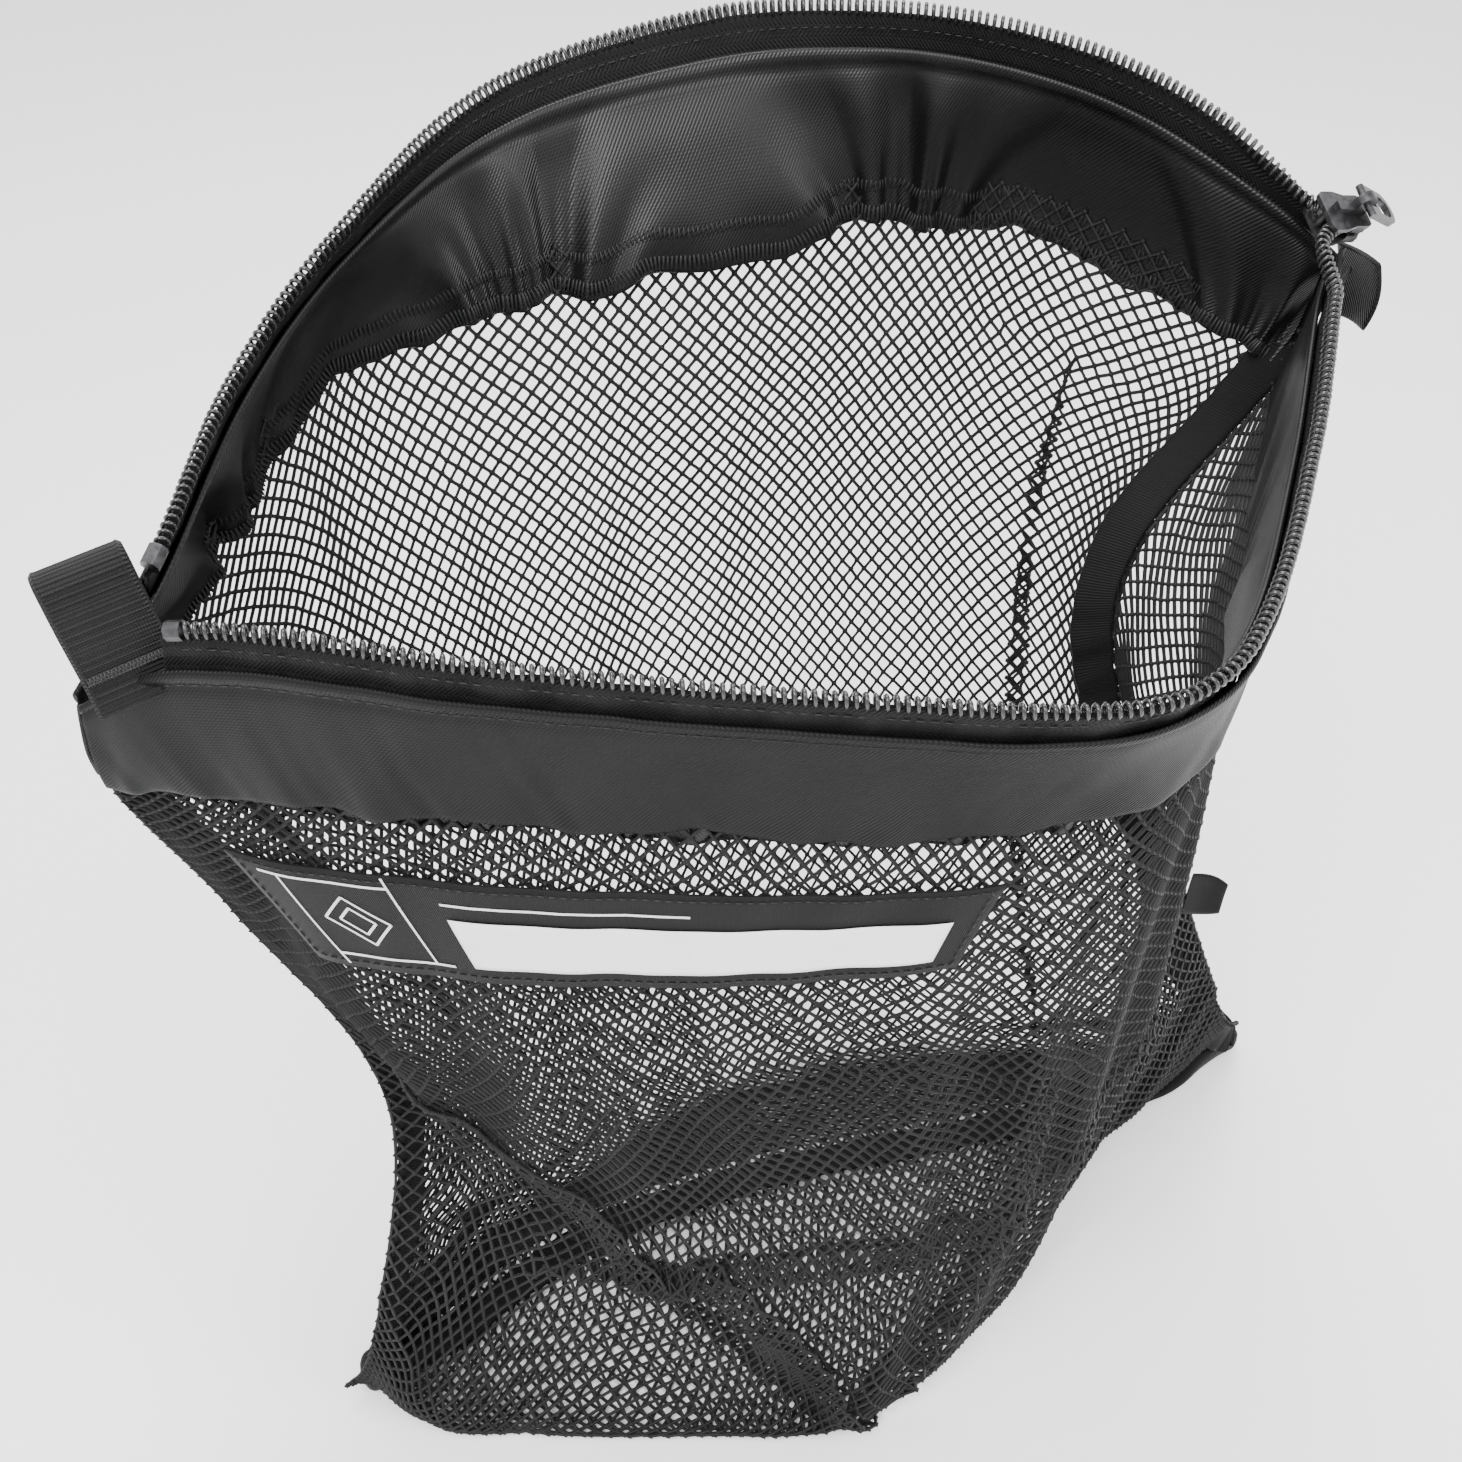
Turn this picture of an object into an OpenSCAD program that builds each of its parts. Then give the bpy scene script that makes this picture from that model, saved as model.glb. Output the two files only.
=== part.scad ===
// Net kit bag with a zipped mouth, standing open on its own base.
// X runs along the bottom seam, -Y is the front, +Z is up; the origin is on the resting face.

/* [Bag] */
// Flat width of the bag between its side seams
bag_w = 420; // [340:5:510]
// Flat height of the bag from the zip to the bottom seam
bag_h = 390; // [320:5:470]
// Depth of the open mouth from front to back
mouth_depth = 230; // [190:5:280]

/* [Net and seams] */
// Thickness of the knotted net
net_t = 1.0; // [0.8:0.1:1.4]
// Width of the tape that binds the seam allowances inside the bag
binding_w = 18; // [12:1:24]
// Thickness of a bound seam
binding_t = 1.6; // [1:0.1:2.4]

/* [Band and zip] */
// Height of the satin band below the zip
band_h = 39; // [30:1:50]
// Thickness of one satin layer
satin_t = 0.7; // [0.5:0.1:1]
// Gap kept between two sewn layers
layer_gap = 0.2; // [0.15:0.05:0.4]
// Length of net that is tucked between the two satin layers
net_tuck = 8; // [5:1:12]
// Zip tape that shows between the coil and the band
tape_show = 8; // [6:0.5:10]
// Thickness of the zip tape
tape_t = 0.6; // [0.5:0.1:0.8]
// Diameter of one zip coil
coil_d = 3.6; // [3:0.1:4.2]

/* [Slider] */
// Length of the slider body
slider_len = 14; // [12:0.5:16]
// Width of the slider body at its nose
slider_w = 12; // [11:0.5:14]
// Thickness of each slider plate
plate_t = 1.2; // [1:0.1:1.6]
// Diameter of the pull's cross bar
bar_d = 2.0; // [1.8:0.1:2.2]
// Radial clearance of the cross bar in the bridge
bar_clear = 0.06; // [0.03:0.01:0.1]
// Length of the pull from the cross bar to its end
pull_len = 14; // [12:0.5:20]
// Width of the pull
pull_w = 9.6; // [9:0.2:12]
// Thickness of the pull
pull_t = 1.6; // [1.2:0.1:1.8]

/* [Loop, tabs and label] */
// Width of the webbing of the hanging loop
loop_w = 20; // [15:1:25]
// Length of the loop above the band
loop_len = 27; // [22:1:34]
// Thickness of the webbing
web_t = 1.5; // [1.2:0.1:2]
// Clear gap between the two legs of the loop
loop_gap = 7; // [6.5:0.5:9]
// Width of the satin tab at the closed end of the zip
tab_w = 17; // [12:1:20]
// Length of the satin tab
tab_len = 21; // [16:1:26]
// Length of the flag label in the side seam
flag_len = 18; // [14:1:24]
// Thickness of the woven name label
label_t = 0.6; // [0.5:0.1:1]

/* [Hidden] */
$fn = 48;

front = -1;
back = 1;
kx = bag_w / 420;
ky = mouth_depth / 230;
kz = bag_h / 390;
rest_z = net_t / 2;

// Columns and rows that the sewn layers share, so that they stay parallel
cols = 36;
net_rows = 17;
edge = 0.004;

// Each section of a panel runs from the left seam to the right seam: [share of the width, x, y, z]
section_at = [0, 0.12, 0.35, 0.58, 0.80, 1];
bottom_seam = [
  [0, -186, -3, 5], [0.25, -97, 28, 0], [0.42, -31, 27, 0], [0.56, 20, 18, 0],
  [0.7, 69, 8, 0], [0.85, 122, 1, 0], [1, 183, -2, 5]
];
front_sections = [
  [[0, -187, 30, 288], [0.06, -165, 18, 304], [0.25, -104, -18, 300], [0.42, -40, -56, 299],
   [0.55, 12, -84, 301], [0.62, 40, -80, 305], [0.78, 90, -36, 317], [0.93, 134, 13, 334], [1, 149, 24, 330]],
  [[0, -188, 34, 256], [0.2, -125, -2, 252], [0.42, -40, -44, 249], [0.54, 6, -64, 251],
   [0.64, 44, -70, 262], [0.8, 84, -34, 275], [0.93, 123, 7, 290], [1, 143, 26, 297]],
  [[0, -170, 38, 196], [0.2, -124, -16, 180], [0.4, -55, -56, 172], [0.58, 14, -76, 174],
   [0.74, 66, -57, 190], [0.88, 92, -21, 214], [1, 84, 13, 238]],
  [[0, -146, 10, 128], [0.2, -96, -38, 100], [0.42, -36, -75, 92], [0.6, 24, -76, 94],
   [0.76, 74, -52, 104], [0.9, 104, -24, 118], [1, 115, -10, 130]],
  [[0, -171, -2, 26], [0.1, -162, -24, 4], [0.22, -130, -44, 2], [0.33, -84, -64, 1], [0.46, -44, -76, 1],
   [0.6, 8, -62, 1], [0.78, 82, -28, 3], [0.92, 134, -16, 14], [1, 158, -11, 36]],
  bottom_seam
];
back_sections = [
  [[0, -187, 30, 288], [0.06, -165, 40, 306], [0.15, -137, 82, 322], [0.25, -103, 111, 340],
   [0.4, -48, 146, 359], [0.54, 14, 143, 371], [0.64, 52, 123, 374], [0.75, 82, 94, 373],
   [0.85, 110, 64, 364], [0.94, 136, 34, 344], [1, 149, 26, 330]],
  [[0, -188, 34, 256], [0.1, -154, 86, 272], [0.2, -122, 112, 296], [0.3, -92, 128, 305],
   [0.42, -40, 128, 311], [0.56, 18, 122, 316], [0.68, 64, 112, 322], [0.8, 98, 88, 318],
   [0.92, 129, 44, 304], [1, 143, 26, 297]],
  [[0, -170, 38, 196], [0.2, -120, 92, 206], [0.42, -48, 112, 216], [0.58, 14, 110, 224],
   [0.74, 66, 88, 228], [0.88, 96, 46, 232], [1, 84, 13, 238]],
  [[0, -146, 10, 128], [0.2, -104, 52, 120], [0.42, -46, 76, 118], [0.6, 16, 78, 120],
   [0.76, 74, 58, 122], [0.9, 108, 20, 126], [1, 115, -10, 130]],
  [[0, -171, -2, 26], [0.2, -116, 36, 20], [0.42, -44, 56, 6], [0.6, 24, 52, 5],
   [0.8, 104, 26, 12], [0.92, 142, 4, 26], [1, 158, -11, 36]],
  bottom_seam
];

// Heights of the sewn lines, as shares of the panel's height
tape_tuck = 12;
facing_over = 4;
tape_top = 0.006;
band_top = tape_show / bag_h;
tape_low = (tape_show + tape_tuck) / bag_h;
band_low = (tape_show + band_h) / bag_h;
facing_low = band_low + facing_over / bag_h;
net_top = band_low - net_tuck / bag_h;

// Where the zip begins at the left corner, where its tapes end and where its coils leave the mouth
zip_from = 0.06;
tape_end = 0.9;
coil_end = 0.895;

// Offsets of the layers from the middle of the panel, outwards positive
outer_at = net_t / 2 + layer_gap;
label_gap = 0.6;
label_at = net_t / 2 + label_gap;
writing_at = label_at + label_t + 0.3;
writing_t = 0.15;

// The slider lies where the two coils meet, rolled towards the front and pitched to the right
chain_start = [141 * kx, 24 * ky, 338 * kz];
chain_pitch = 10;
chain_roll = 30;
coil_side = coil_d / 2 + 0.1;
channel_h = coil_d + 0.5;
body_h = channel_h + 2 * plate_t;
nose_x = -slider_len / 2;
tail_x = slider_len / 2;
tail_w = 2 * coil_side + coil_d + 2.4;
chain_end_x = tail_x - 2.2;
bridge_t = 2.6;
bridge_x = tail_x - 3.4;
bar_z = body_h / 2 + 3.6;
pull_drop = 20;
pull_rim = 1.8;

// The hanging loop stands on the band's left corner
loop_base = [-175 * kx, 24 * ky, 294 * kz];
loop_lean = 30;
loop_roll = -30;

// Sizes of the stitched block under the loop, of the bindings and of the two tabs
tack_h = 1.8;
tack_from = 4;
side_binding_w = binding_w * 0.6;
binding_rise = 0.3;
tab_off = 4.6;
tab_rise = 2;
flag_w = 12;
flag_t = 1;
flag_off = 4;
flag_lean = -18;
flag_turn = -35;

function unit(a) = a / norm(a);
function mix(a, b, t) = a + (b - a) * t;
function span(a, b, n) = [for (i = [0:n]) mix(a, b, i / n)];

// Smooth curve through points ps at the parameters ts
function slope(ts, ps, k) =
  let (a = max(k - 1, 0), b = min(k + 1, len(ts) - 1))
  (ps[b] - ps[a]) / (ts[b] - ts[a]);
function spline(ts, ps, t) =
  let (
    i = max([for (j = [0:len(ts) - 2]) if (j == 0 || t >= ts[j]) j]),
    h = ts[i + 1] - ts[i],
    s = (t - ts[i]) / h,
    m0 = slope(ts, ps, i) * h,
    m1 = slope(ts, ps, i + 1) * h
  )
  (2 * s^3 - 3 * s^2 + 1) * ps[i] + (s^3 - 2 * s^2 + s) * m0
    + (3 * s^2 - 2 * s^3) * ps[i + 1] + (s^3 - s^2) * m1;

function section_point(row, u) =
  spline([for (p = row) p[0]], [for (p = row) [p[1] * kx, p[2] * ky, p[3] * kz]], u);
function panel_point(side, u, v) =
  let (
    rows = side == front ? front_sections : back_sections,
    p = spline(section_at, [for (r = rows) section_point(r, u)], v)
  )
  [p.x, p.y, max(p.z, rest_z)];

// A sewn layer: a grid of panel points, with its normals turned out of the bag and straight down on the base
function grid_normal(g, i, j, side) = g[i][j].z <= rest_z ? [0, 0, -1] :
  let (
    i0 = max(i - 1, 0), i1 = min(i + 1, len(g) - 1),
    j0 = max(j - 1, 0), j1 = min(j + 1, len(g[0]) - 1)
  )
  side * unit(cross(g[i][j1] - g[i][j0], g[i1][j] - g[i0][j]));
function layer(g, side, d) =
  [for (i = [0:len(g) - 1]) for (j = [0:len(g[0]) - 1]) g[i][j] + d * grid_normal(g, i, j, side)];

// Faces of a closed slab whose two layers have nr rows and nc columns of points
function quad(a, b, c, d, turn) = turn ? [[a, b, c], [a, c, d]] : [[c, b, a], [d, c, a]];
function slab_faces(nr, nc, turn) =
  let (n = nr * nc)
  [
    for (i = [0:nr - 2]) for (j = [0:nc - 2]) for (f = quad(
      i * nc + j, i * nc + j + 1, (i + 1) * nc + j + 1, (i + 1) * nc + j, turn)) f,
    for (i = [0:nr - 2]) for (j = [0:nc - 2]) for (f = quad(
      n + i * nc + j, n + i * nc + j + 1, n + (i + 1) * nc + j + 1, n + (i + 1) * nc + j, !turn)) f,
    for (j = [0:nc - 2]) for (f = quad(j, n + j, n + j + 1, j + 1, turn)) f,
    for (j = [0:nc - 2]) for (f = quad(
      (nr - 1) * nc + j + 1, n + (nr - 1) * nc + j + 1, n + (nr - 1) * nc + j, (nr - 1) * nc + j, turn)) f,
    for (i = [0:nr - 2]) for (f = quad((i + 1) * nc, n + (i + 1) * nc, n + i * nc, i * nc, turn)) f,
    for (i = [0:nr - 2]) for (f = quad(
      i * nc + nc - 1, n + i * nc + nc - 1, n + (i + 1) * nc + nc - 1, (i + 1) * nc + nc - 1, turn)) f
  ];
module slab(g, side, d_in, d_out) {
  polyhedron(
    concat(layer(g, side, d_out), layer(g, side, d_in)),
    slab_faces(len(g), len(g[0]), side == front)
  );
}
module strip(side, us, vs, d_in, d_out) {
  slab([for (v = vs) [for (u = us) panel_point(side, u, v)]], side, d_in, d_out);
}

// A round rope swept along points
function path_tangent(path, i) = unit(path[min(i + 1, len(path) - 1)] - path[max(i - 1, 0)]);
module rope(path, d, sides = 8) {
  n = len(path);
  rings = [
    for (i = [0:n - 1])
      let (
        t = path_tangent(path, i),
        a = unit(cross(t, [0, 0, 1])),
        b = cross(a, t)
      )
      for (k = [0:sides - 1]) path[i] + d / 2 * (cos(360 * k / sides) * a + sin(360 * k / sides) * b)
  ];
  polyhedron(rings, [
    [for (k = [0:sides - 1]) sides - 1 - k],
    for (i = [0:n - 2]) for (k = [0:sides - 1])
      let (m = (k + 1) % sides)
      for (f = quad(i * sides + k, i * sides + m, (i + 1) * sides + m, (i + 1) * sides + k, true)) f,
    [for (k = [0:sides - 1]) (n - 1) * sides + k]
  ]);
}

// A flat tape standing inwards from a seam: path points with the inward direction at each
module ribbon(path, inward, w, t, from) {
  n = len(path);
  g = [
    for (k = [0:2])
      [for (i = [0:n - 1]) path[i] + inward[i] * (from + w * k / 2)]
  ];
  slab(g, back, -t / 2, t / 2);
}

// The columns and rows of the sewn layers
all_us = span(edge, 1 - edge, cols);
inner_us = [for (k = [1:cols - 1]) all_us[k]];
tape_us = [for (u = all_us) if (u >= zip_from - 0.01 && u <= tape_end) u];
band_vs = [band_top, tape_low, mix(tape_low, net_top, 0.5), net_top, band_low];
facing_vs = concat(band_vs, [facing_low]);
tape_vs = [tape_top, band_top, tape_low];
net_vs = concat([net_top, band_low], span(facing_low, 1 - edge, net_rows));

// ---- net panels -------------------------------------------------------------------------
module net_panel(side) {
  color("#1c1c1e")
    strip(side, all_us, net_vs, -net_t / 2, net_t / 2);
}
module front_net() { net_panel(front); }
module back_net() { net_panel(back); }

// ---- satin band at the mouth: an outer layer and a facing --------------------------------
module band(side) {
  color("#232326")
    strip(side, all_us, band_vs, outer_at, outer_at + satin_t);
}
module band_facing(side) {
  color("#1a1a1c")
    strip(side, inner_us, facing_vs, -outer_at - satin_t, -outer_at);
}
module front_band() { band(front); }
module back_band() { band(back); }
module front_band_facing() { band_facing(front); }
module back_band_facing() { band_facing(back); }

// ---- zip ---------------------------------------------------------------------------------
module zip_tape(side) {
  color("#17171a")
    strip(side, tape_us, tape_vs, -tape_t / 2, tape_t / 2);
}
module front_zip_tape() { zip_tape(front); }
module back_zip_tape() { zip_tape(back); }

// Places a point of the slider's own frame in the bag's frame
function in_chain(p) =
  let (
    q = [p.x, p.y * cos(chain_roll) - p.z * sin(chain_roll), p.y * sin(chain_roll) + p.z * cos(chain_roll)]
  )
  chain_start + [
    q.x * cos(chain_pitch) + q.z * sin(chain_pitch), q.y, q.z * cos(chain_pitch) - q.x * sin(chain_pitch)
  ];
module on_chain() {
  translate(chain_start) rotate([0, chain_pitch, 0]) rotate([chain_roll, 0, 0]) children();
}

// A coil follows the mouth and then runs straight through the slider
function coil_path(side) = concat(
  [for (u = span(zip_from + 0.012, coil_end, 44)) panel_point(side, u, 0)],
  [for (p = [[nose_x - 3, 8.4], [nose_x + 1, 4.6], [nose_x + 5, 2.4], [nose_x + 8, coil_side]])
    in_chain([p[0], side * max(p[1], coil_side), 0])],
  [in_chain([chain_end_x, side * coil_side, 0])]
);
module zip_coil(side) { color("#5c5c60") rope(coil_path(side), coil_d); }
module front_zip_coil() { zip_coil(front); }
module back_zip_coil() { zip_coil(back); }

// A pinched clip on each coil's first turn
module zip_top_stops() {
  color("#6a6a6e")
    for (side = [front, back])
      rope([for (u = [zip_from, zip_from + 0.0095]) panel_point(side, u, 0)], coil_d + 1);
}

// The stop that holds the two coils together behind the slider
module zip_bottom_stop() {
  color("#6a6a6e")
    on_chain() translate([chain_end_x + 0.1, -coil_side - coil_d / 2, -coil_d / 2])
      cube([2, 2 * coil_side + coil_d, coil_d]);
}

// ---- slider ------------------------------------------------------------------------------
// Outline from above: a wide nose and a narrow tail with rounded corners
module slider_outline(grow = 0) {
  r = 1.6;
  nose_y = slider_w / 2 + grow;
  tail_y = tail_w / 2 + grow;
  polygon(concat(
    [[nose_x + slider_len * 0.36, nose_y], [nose_x + r, nose_y]],
    [for (a = [100:20:180]) [nose_x + r + r * cos(a), nose_y - r + r * sin(a)]],
    [for (a = [180:20:260]) [nose_x + r + r * cos(a), -nose_y + r + r * sin(a)]],
    [[nose_x + r, -nose_y], [nose_x + slider_len * 0.36, -nose_y]],
    [[nose_x + slider_len * 0.6, -tail_y], [tail_x - r, -tail_y]],
    [for (a = [280:20:340]) [tail_x - r + r * cos(a), -tail_y + r + r * sin(a)]],
    [for (a = [20:20:80]) [tail_x - r + r * cos(a), tail_y - r + r * sin(a)]],
    [[tail_x - r, tail_y], [nose_x + slider_len * 0.6, tail_y]]
  ));
}
module slider_plate(z) {
  translate([0, 0, z]) linear_extrude(plate_t) slider_outline();
}
module slider_body() {
  tape_slot = tape_t + 0.8;
  flange_h = (channel_h - tape_slot) / 2;
  color("#4a4a4e") on_chain() {
    slider_plate(channel_h / 2);
    slider_plate(-channel_h / 2 - plate_t);
    // The wedge that parts the two coils
    translate([nose_x + 1.6, 0, -channel_h / 2]) cylinder(r = 1.1, h = channel_h);
    // Flanges that keep the coils inside, with a slot for the tapes between them
    for (s = [front, back]) for (z = [tape_slot / 2, -tape_slot / 2 - flange_h])
      translate([nose_x + slider_len * 0.6, s * (tail_w / 2 - 0.5) - 0.5, z])
        cube([slider_len * 0.4 - 1.6, 1, flange_h]);
  }
}

// The bridge on the upper plate, bored for the pull's cross bar
module slider_bridge() {
  foot_z = body_h / 2;
  color("#4a4a4e") on_chain()
    difference() {
      union() {
        translate([bridge_x, bridge_t / 2, bar_z]) rotate([90, 0, 0])
          cylinder(d = bar_d + 3, h = bridge_t);
        translate([nose_x + 2.4, -bridge_t / 2, foot_z]) cube([bridge_x - nose_x - 2.4, bridge_t, 2.2]);
        translate([bridge_x - 2.5, -bridge_t / 2, foot_z]) cube([4.4, bridge_t, bar_z - foot_z]);
      }
      translate([bridge_x, bridge_t, bar_z]) rotate([90, 0, 0])
        cylinder(d = bar_d + 2 * bar_clear, h = 2 * bridge_t);
    }
}

// The pull: a cross bar, two arms and an open window, drawn pointing along +X from the bar
module pull_plate() {
  arm_y = bridge_t / 2 + 0.35;
  linear_extrude(pull_t, center = true)
    difference() {
      union() {
        square([pull_len - pull_w / 2, pull_w], center = false);
        translate([pull_len - pull_w / 2, pull_w / 2]) circle(d = pull_w);
      }
      // Slot for the bridge
      translate([-1, pull_w / 2 - arm_y]) square([4.4, 2 * arm_y]);
      // Window
      translate([pull_len - pull_w / 2, pull_w / 2]) circle(d = pull_w - 2 * pull_rim);
      translate([5, pull_rim]) square([pull_len - pull_w / 2 - 5, pull_w - 2 * pull_rim]);
    }
}
module pull_tab() {
  color("#55555a") on_chain() translate([bridge_x, 0, bar_z]) rotate([0, pull_drop, 0]) {
    translate([0, -pull_w / 2, 0]) pull_plate();
    translate([0, pull_w / 2, 0]) rotate([90, 0, 0]) cylinder(d = bar_d, h = pull_w);
  }
}

// ---- hanging loop ------------------------------------------------------------------------
module on_loop() {
  translate(loop_base) rotate([-loop_lean, 0, 0]) rotate([0, loop_roll, 0]) children();
}
// Side view of the folded webbing: two legs that meet at the stitches and a round fold
module loop_side(inset) {
  r = loop_gap / 2 + web_t - inset;
  translate([0, loop_len - loop_gap / 2 - web_t]) circle(r = r);
  polygon([
    [-r, loop_len - loop_gap / 2 - web_t], [-r, loop_len * 0.45], [-web_t - 0.4 + inset, inset],
    [web_t + 0.4 - inset, inset], [r, loop_len * 0.45], [r, loop_len - loop_gap / 2 - web_t]
  ]);
}
module hang_loop() {
  color("#202023") on_loop()
    rotate([90, 0, 90]) translate([0, 0, -loop_w / 2])
      linear_extrude(loop_w) difference() {
        loop_side(0);
        loop_side(web_t);
      }
}
// The dense stitches that hold the loop's two legs to the corner
module loop_bar_tack() {
  color("#101012") on_loop()
    translate([-loop_w / 2 + tack_from, -web_t, -tack_h]) cube([loop_w - tack_from - 1, 2 * web_t, tack_h]);
}

// ---- satin tab over the closed end of the zip --------------------------------------------
module end_tab() {
  at = panel_point(front, 1, band_top);
  color("#1d1d20")
    translate([at.x + tab_off, at.y, at.z - tab_len + tab_rise]) rotate([0, 0, 90])
      translate([-tab_w / 2, -satin_t, 0]) cube([tab_w, 2 * satin_t, tab_len]);
}

// ---- seam bindings -----------------------------------------------------------------------
function side_seam(u, vs) = [for (v = vs) (panel_point(front, u, v) + panel_point(back, u, v)) / 2];
function side_inward(u, step, vs) = [
  for (v = vs)
    unit(panel_point(front, u + step, v) + panel_point(back, u + step, v)
      - panel_point(front, u, v) - panel_point(back, u, v))
];
module side_binding(u, step) {
  vs = span(facing_low, 0.95, 20);
  color("#131315") ribbon(side_seam(u, vs), side_inward(u, step, vs), side_binding_w, binding_t, 1.2);
}
module left_seam_binding() { side_binding(0, 0.04); }
module right_seam_binding() { side_binding(1, -0.04); }
module bottom_seam_binding() {
  us = span(0.08, 0.88, 24);
  path = [for (u = us) panel_point(front, u, 1) + [0, 0, net_t + binding_t / 2 + binding_rise]];
  color("#131315") ribbon(path, [for (u = us) unit([0, -1, 0.06])], binding_w, binding_t, -1);
}

// ---- name label on the front net ---------------------------------------------------------
// Corners of the label on the front panel as shares of its width and height
label_corners = [[0.075, 0.18], [0.515, 0.165], [0.515, 0.25], [0.115, 0.29]];
function label_uv(s, t) =
  mix(mix(label_corners[0], label_corners[1], s), mix(label_corners[3], label_corners[2], s), t);
function label_grid(s0, s1, t0, t1, ns, nt) =
  [
    for (t = span(t0, t1, nt))
      [for (s = span(s0, s1, ns)) let (q = label_uv(s, t)) panel_point(front, q[0], q[1])]
  ];
module name_label() {
  color("#0d0d0f") slab(label_grid(0, 1, 0, 1, 20, 3), front, label_at, label_at + label_t);
}
module writing_panel() {
  color("#f2f2f0")
    slab(label_grid(0.3, 0.965, 0.34, 0.86, 14, 2), front, writing_at, writing_at + writing_t);
}

// ---- flag label folded into the right seam -----------------------------------------------
module flag_label() {
  at = panel_point(front, 1, 0.6);
  color("#0d0d0f")
    translate([at.x + flag_off, at.y - 2, at.z]) rotate([0, flag_lean, 0]) rotate([0, 0, flag_turn])
      translate([0, 0, -flag_len / 2]) cube([flag_w, flag_t, flag_len]);
}

front_net();
back_net();
front_band();
back_band();
front_band_facing();
back_band_facing();
front_zip_tape();
back_zip_tape();
front_zip_coil();
back_zip_coil();
zip_top_stops();
zip_bottom_stop();
slider_body();
slider_bridge();
pull_tab();
hang_loop();
loop_bar_tack();
end_tab();
left_seam_binding();
right_seam_binding();
bottom_seam_binding();
name_label();
writing_panel();
flag_label();
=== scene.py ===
# %% [markdown]
# # A net kit bag with a zipped mouth
# Everything here is in metres in their frame: X runs along the bottom seam, -Y is the front and +Z is up.
# The bag's cloth is rebuilt on the same sections as the solids.

# %% Load the frame
import math

import bmesh
import bpy
import numpy as np
from mathutils import Matrix, Vector


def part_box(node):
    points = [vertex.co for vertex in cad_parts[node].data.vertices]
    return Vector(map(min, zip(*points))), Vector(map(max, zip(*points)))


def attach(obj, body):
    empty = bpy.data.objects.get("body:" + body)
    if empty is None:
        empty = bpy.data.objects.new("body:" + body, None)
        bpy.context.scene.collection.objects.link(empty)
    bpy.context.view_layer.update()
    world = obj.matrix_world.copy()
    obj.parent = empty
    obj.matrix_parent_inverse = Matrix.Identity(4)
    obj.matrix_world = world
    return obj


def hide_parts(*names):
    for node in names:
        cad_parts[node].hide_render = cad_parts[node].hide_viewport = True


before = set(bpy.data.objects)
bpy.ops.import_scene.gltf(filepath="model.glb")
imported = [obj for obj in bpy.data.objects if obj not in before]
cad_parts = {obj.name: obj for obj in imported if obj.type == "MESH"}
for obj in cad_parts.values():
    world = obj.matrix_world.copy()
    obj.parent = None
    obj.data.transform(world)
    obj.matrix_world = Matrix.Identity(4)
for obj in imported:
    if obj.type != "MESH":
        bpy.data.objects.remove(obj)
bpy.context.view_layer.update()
MM = 0.001
rng = np.random.default_rng(7)

# %% [markdown]
# ## Driving sizes
# The sizes follow the solids: a 420 by 390 mm flat bag, a 39 mm satin band under an 8 mm strip of zip tape.
# Each panel is lofted through six sections from the zip down to the bottom seam. A section lists the share of
# the width, then x, y and z in millimetres.

# %% Sizes and sections
BAG_W, BAG_H = 0.420, 0.390
TAPE_SHOW, BAND_H, NET_TUCK = 0.008, 0.039, 0.008
NET_PITCH, THREAD_R, KNOT_R = 0.0038, 0.00060, 0.00112
COIL_PITCH, COIL_R = 0.0021, 0.0018
ZIP_FROM, ZIP_TO, TAPE_TO = 0.06, 0.893, 0.958
REST_LIFT = 0.0005
SECTION_AT = np.array([0, 0.12, 0.35, 0.58, 0.80, 1])
BOTTOM_SEAM = [
    [0, -186, -3, 5], [0.25, -97, 28, 0], [0.42, -31, 27, 0], [0.56, 20, 18, 0],
    [0.7, 69, 8, 0], [0.85, 122, 1, 0], [1, 183, -2, 5],
]
FRONT_SECTIONS = [
    [[0, -187, 30, 288], [0.06, -165, 18, 304], [0.25, -104, -18, 300], [0.42, -40, -56, 299],
     [0.55, 12, -84, 301], [0.62, 40, -80, 305], [0.78, 90, -36, 317], [0.93, 134, 13, 334],
     [1, 149, 24, 330]],
    [[0, -188, 34, 256], [0.2, -125, -2, 252], [0.42, -40, -44, 249], [0.54, 6, -64, 251],
     [0.64, 44, -70, 262], [0.8, 84, -34, 275], [0.93, 123, 7, 290], [1, 143, 26, 297]],
    [[0, -170, 38, 196], [0.2, -124, -16, 180], [0.4, -55, -56, 172], [0.58, 14, -76, 174],
     [0.74, 66, -57, 190], [0.88, 92, -21, 214], [1, 84, 13, 238]],
    [[0, -146, 10, 128], [0.2, -96, -38, 100], [0.42, -36, -75, 92], [0.6, 24, -76, 94],
     [0.76, 74, -52, 104], [0.9, 104, -24, 118], [1, 115, -10, 130]],
    [[0, -171, -2, 26], [0.1, -162, -24, 4], [0.22, -130, -44, 2], [0.33, -84, -64, 1], [0.46, -44, -76, 1],
     [0.6, 8, -62, 1], [0.78, 82, -28, 3], [0.92, 134, -16, 14], [1, 158, -11, 36]],
    BOTTOM_SEAM,
]
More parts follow.
